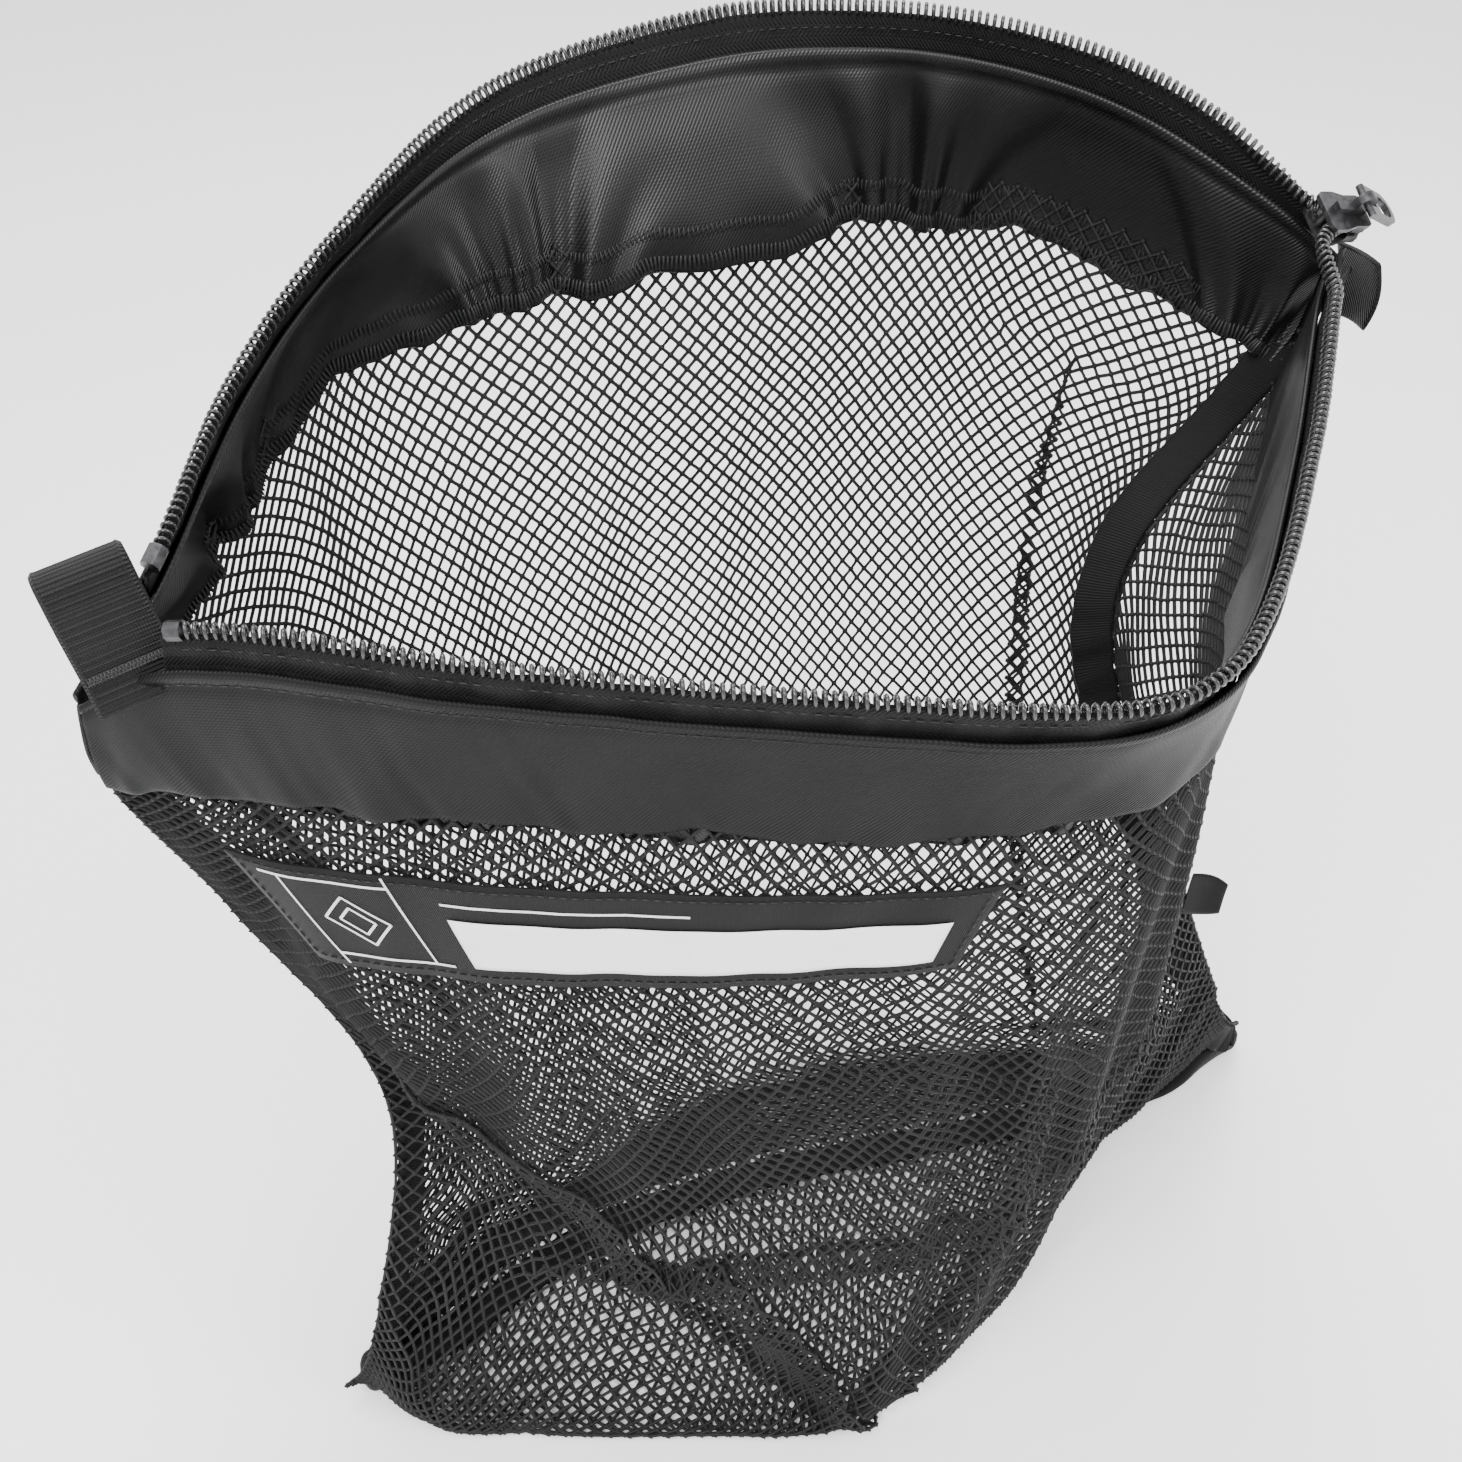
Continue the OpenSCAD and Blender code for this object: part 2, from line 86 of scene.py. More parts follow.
BACK_SECTIONS = [
    [[0, -187, 30, 288], [0.06, -165, 40, 306], [0.15, -137, 82, 322], [0.25, -103, 111, 340],
     [0.4, -48, 146, 359], [0.54, 14, 143, 371], [0.64, 52, 123, 374], [0.75, 82, 94, 373],
     [0.85, 110, 64, 364], [0.94, 136, 34, 344], [1, 149, 26, 330]],
    [[0, -188, 34, 256], [0.1, -154, 86, 272], [0.2, -122, 112, 296], [0.3, -92, 128, 305],
     [0.42, -40, 128, 311], [0.56, 18, 122, 316], [0.68, 64, 112, 322], [0.8, 98, 88, 318],
     [0.92, 129, 44, 304], [1, 143, 26, 297]],
    [[0, -170, 38, 196], [0.2, -120, 92, 206], [0.42, -48, 112, 216], [0.58, 14, 110, 224],
     [0.74, 66, 88, 228], [0.88, 96, 46, 232], [1, 84, 13, 238]],
    [[0, -146, 10, 128], [0.2, -104, 52, 120], [0.42, -46, 76, 118], [0.6, 16, 78, 120],
     [0.76, 74, 58, 122], [0.9, 108, 20, 126], [1, 115, -10, 130]],
    [[0, -171, -2, 26], [0.2, -116, 36, 20], [0.42, -44, 56, 6], [0.6, 24, 52, 5],
     [0.8, 104, 26, 12], [0.92, 142, 4, 26], [1, 158, -11, 36]],
    BOTTOM_SEAM,
]
print("sections", len(FRONT_SECTIONS), "front and", len(BACK_SECTIONS), "back")

# %% [markdown]
# ## Curves and panels
# Each side of the real bag is one piece of cloth, cut flat and pulled into shape by its seams. It could be
# sculpted, but then no stitch or tape would know where to lie. So it is lofted through its sections with the
# same smooth curve as the solids, `spline`. A `Panel` then gives a point for any share of the width u and of
# the height v, lifted along the outward normal.


# %% Spline and panel
def spline(ts, ps, t):
    """A smooth curve through the points ps, which stand at the parameters ts."""
    ts, ps, t = np.asarray(ts, float), np.asarray(ps, float), np.asarray(t, float)
    n = len(ts)
    lo, hi = np.maximum(np.arange(n) - 1, 0), np.minimum(np.arange(n) + 1, n - 1)
    slope = (ps[hi] - ps[lo]) / (ts[hi] - ts[lo])[:, None]
    i = np.clip(np.searchsorted(ts, t, "right") - 1, 0, n - 2)
    h = ts[i + 1] - ts[i]
    s = ((t - ts[i]) / h)[:, None]
    h = h[:, None]
    return (
        (2 * s**3 - 3 * s**2 + 1) * ps[i] + (s**3 - 2 * s**2 + s) * h * slope[i]
        + (3 * s**2 - 2 * s**3) * ps[i + 1] + (s**3 - s**2) * h * slope[i + 1]
    )


def loft(sections, u, v):
    """A grid of points over u and v, in metres, that never sinks into the surface the bag stands on."""
    rows = np.stack([spline([p[0] for p in r], [p[1:] for p in r], u) for r in sections])
    grid = spline(SECTION_AT, rows.reshape(len(sections), -1), v).reshape(len(v), len(u), 3) * MM
    grid[..., 2] = np.maximum(grid[..., 2], REST_LIFT)
    return grid


def cubic_weights(s):
    """How much each of four neighbours counts, a share s of the way from the second to the third."""
    return np.stack([
        -0.5 * s + s**2 - 0.5 * s**3, 1 - 2.5 * s**2 + 1.5 * s**3,
        0.5 * s + 2 * s**2 - 1.5 * s**3, -0.5 * s**2 + 0.5 * s**3,
    ])


class Panel:
    """A cloth panel: u runs from the left seam to the right seam, v from the zip to the bottom seam."""

    def __init__(self, grid, outward):
        self.grid = grid
        across = np.gradient(grid, axis=1)
        down = np.gradient(grid, axis=0)
        normal = np.cross(across, down) * outward
        self.normal = normal / np.maximum(np.linalg.norm(normal, axis=-1, keepdims=True), 1e-12)

    def sample(self, field, u, v):
        rows, cols = field.shape[:2]
        x, y = np.clip(u, 0, 1) * (cols - 1), np.clip(v, 0, 1) * (rows - 1)
        i, j = np.minimum(x.astype(int), cols - 2), np.minimum(y.astype(int), rows - 2)
        wx, wy = cubic_weights(x - i), cubic_weights(y - j)
        out = 0
        for a in range(4):
            for b in range(4):
                cell = field[np.clip(j + b - 1, 0, rows - 1), np.clip(i + a - 1, 0, cols - 1)]
                out = out + (wx[a] * wy[b])[..., None] * cell
        return out

    def at(self, u, v, lift=0.0):
        u, v = np.broadcast_arrays(np.asarray(u, float), np.asarray(v, float))
        point, normal = self.sample(self.grid, u, v), self.sample(self.normal, u, v)
        normal = normal / np.maximum(np.linalg.norm(normal, axis=-1, keepdims=True), 1e-12)
        return point + normal * np.broadcast_to(lift, u.shape)[..., None]

    def normals(self, u, v):
        normal = self.sample(self.normal, np.asarray(u, float), np.asarray(v, float))
        return normal / np.linalg.norm(normal, axis=-1, keepdims=True)


def smooth(a, b, x):
    """Rises from 0 at a to 1 at b without a kink."""
    t = np.clip((np.asarray(x, float) - a) / (b - a), 0, 1)
    return t * t * (3 - 2 * t)


def ripple(x, length, seed, octaves=3):
    """A smooth random wave along x, about -1 to 1, with its main wavelength given."""
    local = np.random.default_rng(seed)
    total = np.zeros_like(np.asarray(x, float))
    for k in range(octaves):
        for _ in range(3):
            wavelength = length / 1.9**k * local.uniform(0.7, 1.4)
            start = local.uniform(0, 6.28)
            total += math.pow(0.55, k) * np.sin(2 * math.pi * np.asarray(x) / wavelength + start)
    return total / 3


middle = loft(FRONT_SECTIONS, np.array([0.5]), np.array([0.5]))[0, 0]
print("middle of the front panel, in mm", (middle / MM).round(1))

# %% [markdown]
# ## Cloth simulation
# The real net hangs from its band and slumps on its base. Every buckle could be modelled by hand, but a short
# cloth run finds small ones that follow the weight. The two panels are one ring of cloth, sewn at both
# sides and along the bottom. The band and the bottom seam are held, and the side seams are held softly. The
# cloth is cut a little larger than the loft, so it sags and comes to rest on a plate.

# %% Drop the net between the band and the base
COLS, ROWS = 92, 84
grid_u, grid_v = np.linspace(0, 1, COLS), np.linspace(0, 1, ROWS)
front_loft, back_loft = loft(FRONT_SECTIONS, grid_u, grid_v), loft(BACK_SECTIONS, grid_u, grid_v)
SLACK, SIM_FRAMES = 0.014, 26


def new_mesh(name, verts, faces, edges=()):
    mesh = bpy.data.meshes.new(name)
    mesh.from_pydata([tuple(map(float, p)) for p in verts], [tuple(map(int, e)) for e in edges],
                     [tuple(map(int, f)) for f in faces])
    mesh.update()
    obj = bpy.data.objects.new(name, mesh)
    bpy.context.scene.collection.objects.link(obj)
    return obj


def square_plate(name, half, z):
    corners = [(-half, -half, z), (half, -half, z), (half, half, z), (-half, half, z)]
    return new_mesh(name, corners, [(0, 1, 2, 3)])


def ring_points(front_grid, back_grid):
    """The front panel from left to right, then the back panel from right to left, without its seams."""
    return np.concatenate([front_grid, back_grid[:, -2:0:-1]], axis=1)


def bumped(ring):
    """Small seeded bumps give the slack cloth somewhere to buckle."""
    count = ring.shape[1]
    angle = np.arange(count) / count * BAG_W * 2
    bump = 0.0016 * ripple(angle, 0.07, 3)[None, :] * smooth(0.12, 0.3, grid_v)[:, None]
    centre = ring.mean(axis=1, keepdims=True)
    out = ring - centre
    out[..., 2] = 0
    out /= np.maximum(np.linalg.norm(out, axis=-1, keepdims=True), 1e-9)
    return ring + out * bump[..., None] * (grid_v < 0.75)[:, None, None]


def hold_weight(v, from_seam):
    """How firmly a point is held: 1 at the band and the bottom seam, less at the side seams."""
    band = 1 - float(smooth(0.12, 0.2, v))
    bottom = float(smooth(0.95, 0.985, v))
    side = {0: 0.75, 1: 0.35}.get(from_seam, 0)
    foot = 0.25 * float(smooth(0.74, 0.84, v))
    return max(band, bottom, side, foot, 0.05)


def simulate():
    ring = bumped(ring_points(front_loft, back_loft))
    count = ring.shape[1]
    faces = [
        (r * count + c, r * count + (c + 1) % count, (r + 1) * count + (c + 1) % count, (r + 1) * count + c)
        for r in range(ROWS - 1) for c in range(count)
    ]
    cloth = new_mesh("cloth", ring.reshape(-1, 3), faces)
    hold = cloth.vertex_groups.new(name="hold")
    for r, v in enumerate(grid_v):
        for c in range(count):
            from_seam = min(c, abs(c - (COLS - 1)), count - c)
            hold.add([r * count + c], hold_weight(v, from_seam), "REPLACE")
    modifier = cloth.modifiers.new("cloth", "CLOTH")
    settings = modifier.settings
    settings.quality = 7
    settings.mass = 0.12
    settings.tension_stiffness = settings.compression_stiffness = 12
    settings.shear_stiffness = 3
    settings.bending_stiffness = 3
    settings.air_damping = 2.5
    settings.vertex_group_mass = "hold"
    settings.pin_stiffness = 1.5
    settings.shrink_min = -SLACK
    modifier.collision_settings.distance_min = 0.001
    modifier.point_cache.frame_start, modifier.point_cache.frame_end = 1, SIM_FRAMES
    floor = square_plate("rest_plate", 1, -0.0005)
    floor.modifiers.new("collision", "COLLISION")
    floor.collision.thickness_outer = 0.001
    for step in range(1, SIM_FRAMES + 1):
        bpy.context.scene.frame_set(step)
    shown = cloth.evaluated_get(bpy.context.evaluated_depsgraph_get())
    co = np.zeros(len(shown.data.vertices) * 3)
    shown.data.vertices.foreach_get("co", co)
    ring = co.reshape(ROWS, count, 3)
    for extra in (cloth, floor):
        bpy.data.objects.remove(extra, do_unlink=True)
    bpy.context.scene.frame_set(1)
    return ring


ring = simulate()
moved = np.linalg.norm(ring - ring_points(front_loft, back_loft), axis=-1)
print("cloth moved by up to", (moved.max() / MM).round(1), "mm, mean", (moved.mean() / MM).round(1))

# %% [markdown]
# ## Evening out the cloth
# A coarse cloth run leaves small spikes that real net would not hold. A finer grid would take minutes, so the
# points are averaged with their neighbours instead. The seams keep their places. `stiff` is averaged much
# more, for the woven label, which bends less than the net under it.


# %% Relax the cloth and make the panels
def relax(grid, rounds):
    """Evens out the smallest bumps: each point moves towards the mean of its four neighbours."""
    for _ in range(rounds):
        beside = (np.roll(grid, 1, axis=1) + np.roll(grid, -1, axis=1)) / 2
        above = np.concatenate([grid[:1], grid[:-1]])
        below = np.concatenate([grid[1:], grid[-1:]])
        grid = 0.5 * grid + 0.25 * beside + 0.125 * (above + below)
    return grid


seams = ring.copy()
ring = relax(ring, 3)
ring[:, [0, COLS - 1]], ring[[0, -1]] = seams[:, [0, COLS - 1]], seams[[0, -1]]
ring[..., 2] = np.maximum(ring[..., 2], REST_LIFT)
front = Panel(ring[:, :COLS], -1)
back = Panel(np.concatenate([ring[:, :1], ring[:, :COLS - 2:-1]], axis=1), 1)
stiff = Panel(relax(ring, 40)[:, :COLS], -1)
print("panels", front.grid.shape[:2], "and", back.grid.shape[:2])

# %% [markdown]
# ## Shader groups
# Satin, zip tape, webbing and labels are woven, and the weave shows as fine relief. An image could carry it,
# but waves worked out from the UV stay sharp at any distance. Each group takes a UV in metres and puts out a
# height: a diagonal twill, a herringbone or a rib. Every material that needs one shares it.


# %% Weave groups
def group_tree(name, inputs, outputs):
    tree = bpy.data.node_groups.new(name, "ShaderNodeTree")
    for label, kind, value in inputs:
        socket = tree.interface.new_socket(label, in_out="INPUT", socket_type=kind)
        if value is not None:
            socket.default_value = value
    for label, kind in outputs:
        tree.interface.new_socket(label, in_out="OUTPUT", socket_type=kind)
    return tree, tree.nodes.new("NodeGroupInput"), tree.nodes.new("NodeGroupOutput")


def math_node(tree, operation, *values):
    """A maths node whose inputs are numbers or other nodes' outputs."""
    node = tree.nodes.new("ShaderNodeMath")
    node.operation = operation
    for k, value in enumerate(values):
        if isinstance(value, (int, float)):
            node.inputs[k].default_value = value
        else:
            tree.links.new(value, node.inputs[k])
    return node.outputs[0]


def weave_group(name, kind):
    tree, source, sink = group_tree(
        name, [("UV", "NodeSocketVector", None), ("Pitch", "NodeSocketFloat", 0.001)],
        [("Height", "NodeSocketFloat")])
    split = tree.nodes.new("ShaderNodeSeparateXYZ")
    tree.links.new(source.outputs["UV"], split.inputs[0])
    x = math_node(tree, "DIVIDE", split.outputs[0], source.outputs["Pitch"])
    y = math_node(tree, "DIVIDE", split.outputs[1], source.outputs["Pitch"])
    if kind == "twill":
        phase = math_node(tree, "ADD", x, math_node(tree, "MULTIPLY", y, 0.8))
    elif kind == "herringbone":
        zigzag = math_node(tree, "PINGPONG", y, 2.0)
        phase = math_node(tree, "ADD", x, zigzag)
    else:
        phase = x
    height = math_node(tree, "SINE", math_node(tree, "MULTIPLY", phase, 2 * math.pi))
    fine = math_node(tree, "SINE", math_node(tree, "MULTIPLY", y, 9.0))
    coarse_part = math_node(tree, "MULTIPLY", height, 0.5)
    fine_part = math_node(tree, "MULTIPLY", fine, 0.12)
    tree.links.new(math_node(tree, "ADD", coarse_part, fine_part), sink.inputs["Height"])
    return tree


WEAVES = {kind: weave_group(f"weave_{kind}", kind) for kind in ("twill", "herringbone", "rib")}
print("weave groups", sorted(WEAVES))

# %% [markdown]
# ## Materials
# Black cloth is never one black: dye, dust and wear leave two close tones. A flat colour would look like
# plastic, so noise mixes the tones and the roughness, and each cloth adds its weave as a bump and some sheen.
# The hardware is dark metal with uneven roughness and the coils are glossy nylon. The satin facing inside the
# mouth gets darker tones than the outer satin: painted shade.


# %% Material makers
def base_material(name, dark, light, roughness, spread=0.12, noise_scale=60.0):
    material = bpy.data.materials.new(name)
    material.use_nodes = True
    tree = material.node_tree
    shader = tree.nodes["Principled BSDF"]
    place = tree.nodes.new("ShaderNodeTexCoord")
    noise = tree.nodes.new("ShaderNodeTexNoise")
    noise.inputs["Scale"].default_value = noise_scale
    noise.inputs["Detail"].default_value = 4
    tree.links.new(place.outputs["Object"], noise.inputs["Vector"])
    tones = tree.nodes.new("ShaderNodeValToRGB")
    tones.color_ramp.elements[0].position, tones.color_ramp.elements[1].position = 0.3, 0.7
    tones.color_ramp.elements[0].color, tones.color_ramp.elements[1].color = (*dark, 1), (*light, 1)
    tree.links.new(noise.outputs["Fac"], tones.inputs["Fac"])
    tree.links.new(tones.outputs["Color"], shader.inputs["Base Color"])
    rough = tree.nodes.new("ShaderNodeMapRange")
    rough.inputs["To Min"].default_value = roughness - spread / 2
    rough.inputs["To Max"].default_value = roughness + spread / 2
    tree.links.new(noise.outputs["Fac"], rough.inputs["Value"])
    tree.links.new(rough.outputs["Result"], shader.inputs["Roughness"])
    return material, tree, shader, noise


def cloth_material(name, dark, light, roughness, weave=None, pitch=0.001, bump=0.3,
                   sheen=0.02, depth=0.0003, gloss=0.15):
    material, tree, shader, noise = base_material(name, dark, light, roughness)
    shader.inputs["Specular IOR Level"].default_value = gloss
    shader.inputs["Sheen Weight"].default_value = sheen
    shader.inputs["Sheen Roughness"].default_value = 0.45
    normal = tree.nodes.new("ShaderNodeBump")
    normal.inputs["Strength"].default_value = bump
    normal.inputs["Distance"].default_value = depth
    if weave:
        uv = tree.nodes.new("ShaderNodeUVMap")
        uv.uv_map = "UVMap"
        pattern = tree.nodes.new("ShaderNodeGroup")
        pattern.node_tree = WEAVES[weave]
        pattern.inputs["Pitch"].default_value = pitch
        tree.links.new(uv.outputs["UV"], pattern.inputs["UV"])
        tree.links.new(pattern.outputs["Height"], normal.inputs["Height"])
    else:
        fuzz = tree.nodes.new("ShaderNodeTexNoise")
        fuzz.inputs["Scale"].default_value = 1400
        tree.links.new(noise.inputs["Vector"].links[0].from_socket, fuzz.inputs["Vector"])
        tree.links.new(fuzz.outputs["Fac"], normal.inputs["Height"])
    tree.links.new(normal.outputs["Normal"], shader.inputs["Normal"])
    return material


def grey(value, tint=1.04):
    return (value, value, value * tint)


NET = cloth_material("net_thread", grey(0.0055), grey(0.012), 0.55, gloss=0.2)
SATIN = cloth_material("satin_twill", grey(0.0035), grey(0.006), 0.42, "twill", 0.0011, 0.4, 0, gloss=0.13)
# The facing is the same satin with darker tones, as painted shade for the inside of the mouth
FACING = cloth_material(
    "satin_facing_painted_shade", grey(0.0025), grey(0.0045), 0.34, "twill", 0.0011, 0.3, 0.01, gloss=0.28)
TAPE = cloth_material("zip_tape", grey(0.0025), grey(0.005), 0.6, "herringbone", 0.0012, 0.9, gloss=0.16)
WEBBING = cloth_material("webbing", grey(0.004), grey(0.008), 0.55, "rib", 0.0009, 0.9, 0.03, 0.0005, 0.22)
BINDING = cloth_material("binding_tape", grey(0.0025), grey(0.005), 0.62, "rib", 0.0008, 0.5, gloss=0.14)
THREAD = cloth_material("sewing_thread", grey(0.005), grey(0.011), 0.42, gloss=0.3)
LABEL = cloth_material("label_weave", grey(0.003), grey(0.0055), 0.5, "rib", 0.0005, 0.35)
PRINT = cloth_material("label_print", (0.62, 0.62, 0.61), (0.74, 0.74, 0.73), 0.6, gloss=0.3)
WHITE = cloth_material(
    "writing_weave", (0.78, 0.78, 0.775), (0.86, 0.86, 0.855), 0.5, "rib", 0.0005, 0.12, gloss=0.4)


def coil_material():
    material, _, shader, _ = base_material("coil_nylon", grey(0.010), grey(0.022), 0.26, 0.1, 900)
    shader.inputs["Coat Weight"].default_value = 0.25
    return material


def metal_material():
    material, tree, shader, noise = base_material("gunmetal", grey(0.05), grey(0.11), 0.3, 0.18, 500)
    shader.inputs["Metallic"].default_value = 0.9
    scratch = tree.nodes.new("ShaderNodeBump")
    scratch.inputs["Strength"].default_value = 0.12
    scratch.inputs["Distance"].default_value = 0.0002
    tree.links.new(noise.outputs["Fac"], scratch.inputs["Height"])
    tree.links.new(scratch.outputs["Normal"], shader.inputs["Normal"])
    return material


COIL, METAL = coil_material(), metal_material()
print("materials", len(bpy.data.materials))

# %% [markdown]
# ## Building cloth pieces
# Bands, tapes and webbing are long strips with one cross-section. They could be solidified planes, but a
# swept outline also gives rolled edges and stitched grooves. `swept` takes a closed outline, a list of
# (height down the panel, lift) pairs, along the panel's width. `finish_piece` gives a mesh its material,
# smooths its shading and lets it ride on the bag.


# %% Piece makers
def finish_piece(obj, material, nodes=(), body="bag", flat=False):
    obj.data.materials.clear()
    obj.data.materials.append(material)
    obj.data.polygons.foreach_set("use_smooth", [not flat] * len(obj.data.polygons))
    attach(obj, body)
    if nodes:
        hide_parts(*nodes)
    return obj


def outward(obj):
    """Merges doubled points and turns every face out."""
    work = bmesh.new()
    work.from_mesh(obj.data)
    bmesh.ops.remove_doubles(work, verts=work.verts, dist=1e-7)
    bmesh.ops.recalc_face_normals(work, faces=work.faces)
    work.to_mesh(obj.data)
    work.free()
    return obj


def tube_grid(name, points, uv=None):
    """A closed mesh from points[n, m]: m points round each of n rings, with both ends capped."""
    n, m = points.shape[:2]
    faces = [
        (i * m + k, i * m + (k + 1) % m, (i + 1) * m + (k + 1) % m, (i + 1) * m + k)
        for i in range(n - 1) for k in range(m)
    ]
    faces += [tuple(range(m)), tuple((n - 1) * m + k for k in range(m - 1, -1, -1))]
    obj = new_mesh(name, points.reshape(-1, 3), faces)
    layer = obj.data.uv_layers.new(name="UVMap")
    uv = np.zeros((n, m, 2)) if uv is None else uv
    flat_uv = uv.reshape(-1, 2)
    index = np.zeros(len(obj.data.loops), int)
    obj.data.loops.foreach_get("vertex_index", index)
    layer.data.foreach_set("uv", flat_uv[index].astype(np.float32).ravel())
    return outward(obj)


def swept(name, panel, us, profile, wave=None, slide=None):
    """Sweeps an outline of (down, lift) pairs; wave(u, down) adds lift and slide(u, down) moves it down."""
    down = np.array([p[0] for p in profile])[None, :] + np.zeros((len(us), 1))
    lift = np.array([p[1] for p in profile])[None, :] + np.zeros((len(us), 1))
    u = np.asarray(us)[:, None] + np.zeros_like(down)
    moved_lift = lift + (wave(u, down) if wave else 0)
    moved_down = down + (slide(u, down) if slide else 0)
    points = panel.at(u, moved_down / BAG_H, moved_lift)
    round_it = np.concatenate([[0], np.cumsum(np.hypot(*np.diff(np.array(profile), axis=0).T))])
    uv = np.stack([u * BAG_W, np.broadcast_to(round_it, u.shape)], -1)
    return tube_grid(name, points, uv)


def path_object(points, sides):
    """A line of points, each of which keeps a side direction for the pieces placed on it."""
    obj = new_mesh("path", points, [], [(i, i + 1) for i in range(len(points) - 1)])
    attribute = obj.data.attributes.new("side_dir", "FLOAT_VECTOR", "POINT")
    attribute.data.foreach_set("vector", np.asarray(sides, np.float32).ravel())
    return obj


print("piece makers ready for", len(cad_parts), "solids")

# %% [markdown]
# ## Repeats along a path
# A zip coil is one turn of wire again and again, and a seam is one stitch again and again. Copies could be
# made in a loop, but a node group spaces them evenly along any curve and varies their size a little. Each
# copy's Z lies along the path and its X along the stored side direction.


# %% Node group for zip turns and stitches
def geometry_tree(name, inputs):
    tree = bpy.data.node_groups.new(name, "GeometryNodeTree")
    tree.interface.new_socket("Geometry", in_out="INPUT", socket_type="NodeSocketGeometry")
    for label, kind in inputs:
        tree.interface.new_socket(label, in_out="INPUT", socket_type=kind)
    tree.interface.new_socket("Geometry", in_out="OUTPUT", socket_type="NodeSocketGeometry")
    return tree, tree.nodes.new("NodeGroupInput"), tree.nodes.new("NodeGroupOutput")


def repeat_group():
    tree, source, sink = geometry_tree("repeat_along_path", [
        ("Pitch", "NodeSocketFloat"), ("Piece", "NodeSocketObject"), ("Jitter", "NodeSocketFloat"),
        ("Seed", "NodeSocketInt"), ("Material", "NodeSocketMaterial")])
    add, link = tree.nodes.new, tree.links.new
    to_curve, resample = add("GeometryNodeMeshToCurve"), add("GeometryNodeResampleCurve")
    resample.mode = "LENGTH"
    link(source.outputs["Geometry"], to_curve.inputs["Mesh"])
    link(to_curve.outputs["Curve"], resample.inputs["Curve"])
    link(source.outputs["Pitch"], resample.inputs["Length"])
    tangent, side = add("GeometryNodeInputTangent"), add("GeometryNodeInputNamedAttribute")
    side.data_type = "FLOAT_VECTOR"
    side.inputs["Name"].default_value = "side_dir"
    along, turned = add("FunctionNodeAlignRotationToVector"), add("FunctionNodeAlignRotationToVector")
    along.axis = "Z"
    turned.axis, turned.pivot_axis = "X", "Z"
    link(tangent.outputs[0], along.inputs["Vector"])
    link(along.outputs[0], turned.inputs["Rotation"])
    link(side.outputs["Attribute"], turned.inputs["Vector"])
    piece, place = add("GeometryNodeObjectInfo"), add("GeometryNodeInstanceOnPoints")
    link(source.outputs["Piece"], piece.inputs["Object"])
    link(resample.outputs["Curve"], place.inputs["Points"])
    link(piece.outputs["Geometry"], place.inputs["Instance"])
    link(turned.outputs[0], place.inputs["Rotation"])
    chance = add("FunctionNodeRandomValue")
    low = math_node(tree, "SUBTRACT", 1.0, source.outputs["Jitter"])
    high = math_node(tree, "ADD", 1.0, source.outputs["Jitter"])
    link(low, chance.inputs[2])
    link(high, chance.inputs[3])
    link(source.outputs["Seed"], chance.inputs["Seed"])
    link(chance.outputs[1], place.inputs["Scale"])
    real, paint = add("GeometryNodeRealizeInstances"), add("GeometryNodeSetMaterial")
    link(place.outputs[0], real.inputs[0])
    link(real.outputs[0], paint.inputs["Geometry"])
    link(source.outputs["Material"], paint.inputs["Material"])
    link(paint.outputs[0], sink.inputs[0])
    return tree


REPEAT = repeat_group()
print("node group", REPEAT.name, "with", len(REPEAT.nodes), "nodes")

# %% [markdown]
# ## Threads and knots
# The real net is knotted thread, so light passes through it. A see-through texture would be flat at its
# edges. So a lattice of bare edges is made first, and this group sweeps a small outline along each edge and
# sets a knot at each crossing.


# %% Node group for the net
def net_group():
    tree, source, sink = geometry_tree("net_threads", [
        ("Thread Radius", "NodeSocketFloat"), ("Knot Radius", "NodeSocketFloat"),
        ("Sides", "NodeSocketInt"), ("Material", "NodeSocketMaterial")])
    add, link = tree.nodes.new, tree.links.new
    to_curve, ring_profile = add("GeometryNodeMeshToCurve"), add("GeometryNodeCurvePrimitiveCircle")
    to_mesh = add("GeometryNodeCurveToMesh")
    link(source.outputs["Geometry"], to_curve.inputs["Mesh"])
    link(source.outputs["Sides"], ring_profile.inputs["Resolution"])
    link(source.outputs["Thread Radius"], ring_profile.inputs["Radius"])
    link(to_curve.outputs[0], to_mesh.inputs["Curve"])
    link(ring_profile.outputs[0], to_mesh.inputs["Profile Curve"])
    to_mesh.inputs["Fill Caps"].default_value = True
    knot, place = add("GeometryNodeMeshUVSphere"), add("GeometryNodeInstanceOnPoints")
    knot.inputs["Segments"].default_value, knot.inputs["Rings"].default_value = 4, 2
    points, real = add("GeometryNodeMeshToPoints"), add("GeometryNodeRealizeInstances")
    link(source.outputs["Knot Radius"], knot.inputs["Radius"])
    link(source.outputs["Geometry"], points.inputs[0])
    link(points.outputs[0], place.inputs["Points"])
    link(knot.outputs[0], place.inputs["Instance"])
    link(place.outputs[0], real.inputs[0])
    both, shade = add("GeometryNodeJoinGeometry"), add("GeometryNodeSetShadeSmooth")
    paint = add("GeometryNodeSetMaterial")
    link(real.outputs[0], both.inputs[0])
    link(to_mesh.outputs[0], both.inputs[0])
    link(both.outputs[0], shade.inputs[0])
    link(shade.outputs[0], paint.inputs["Geometry"])
    link(source.outputs["Material"], paint.inputs["Material"])
    link(paint.outputs[0], sink.inputs[0])
    return tree


THREADS = net_group()


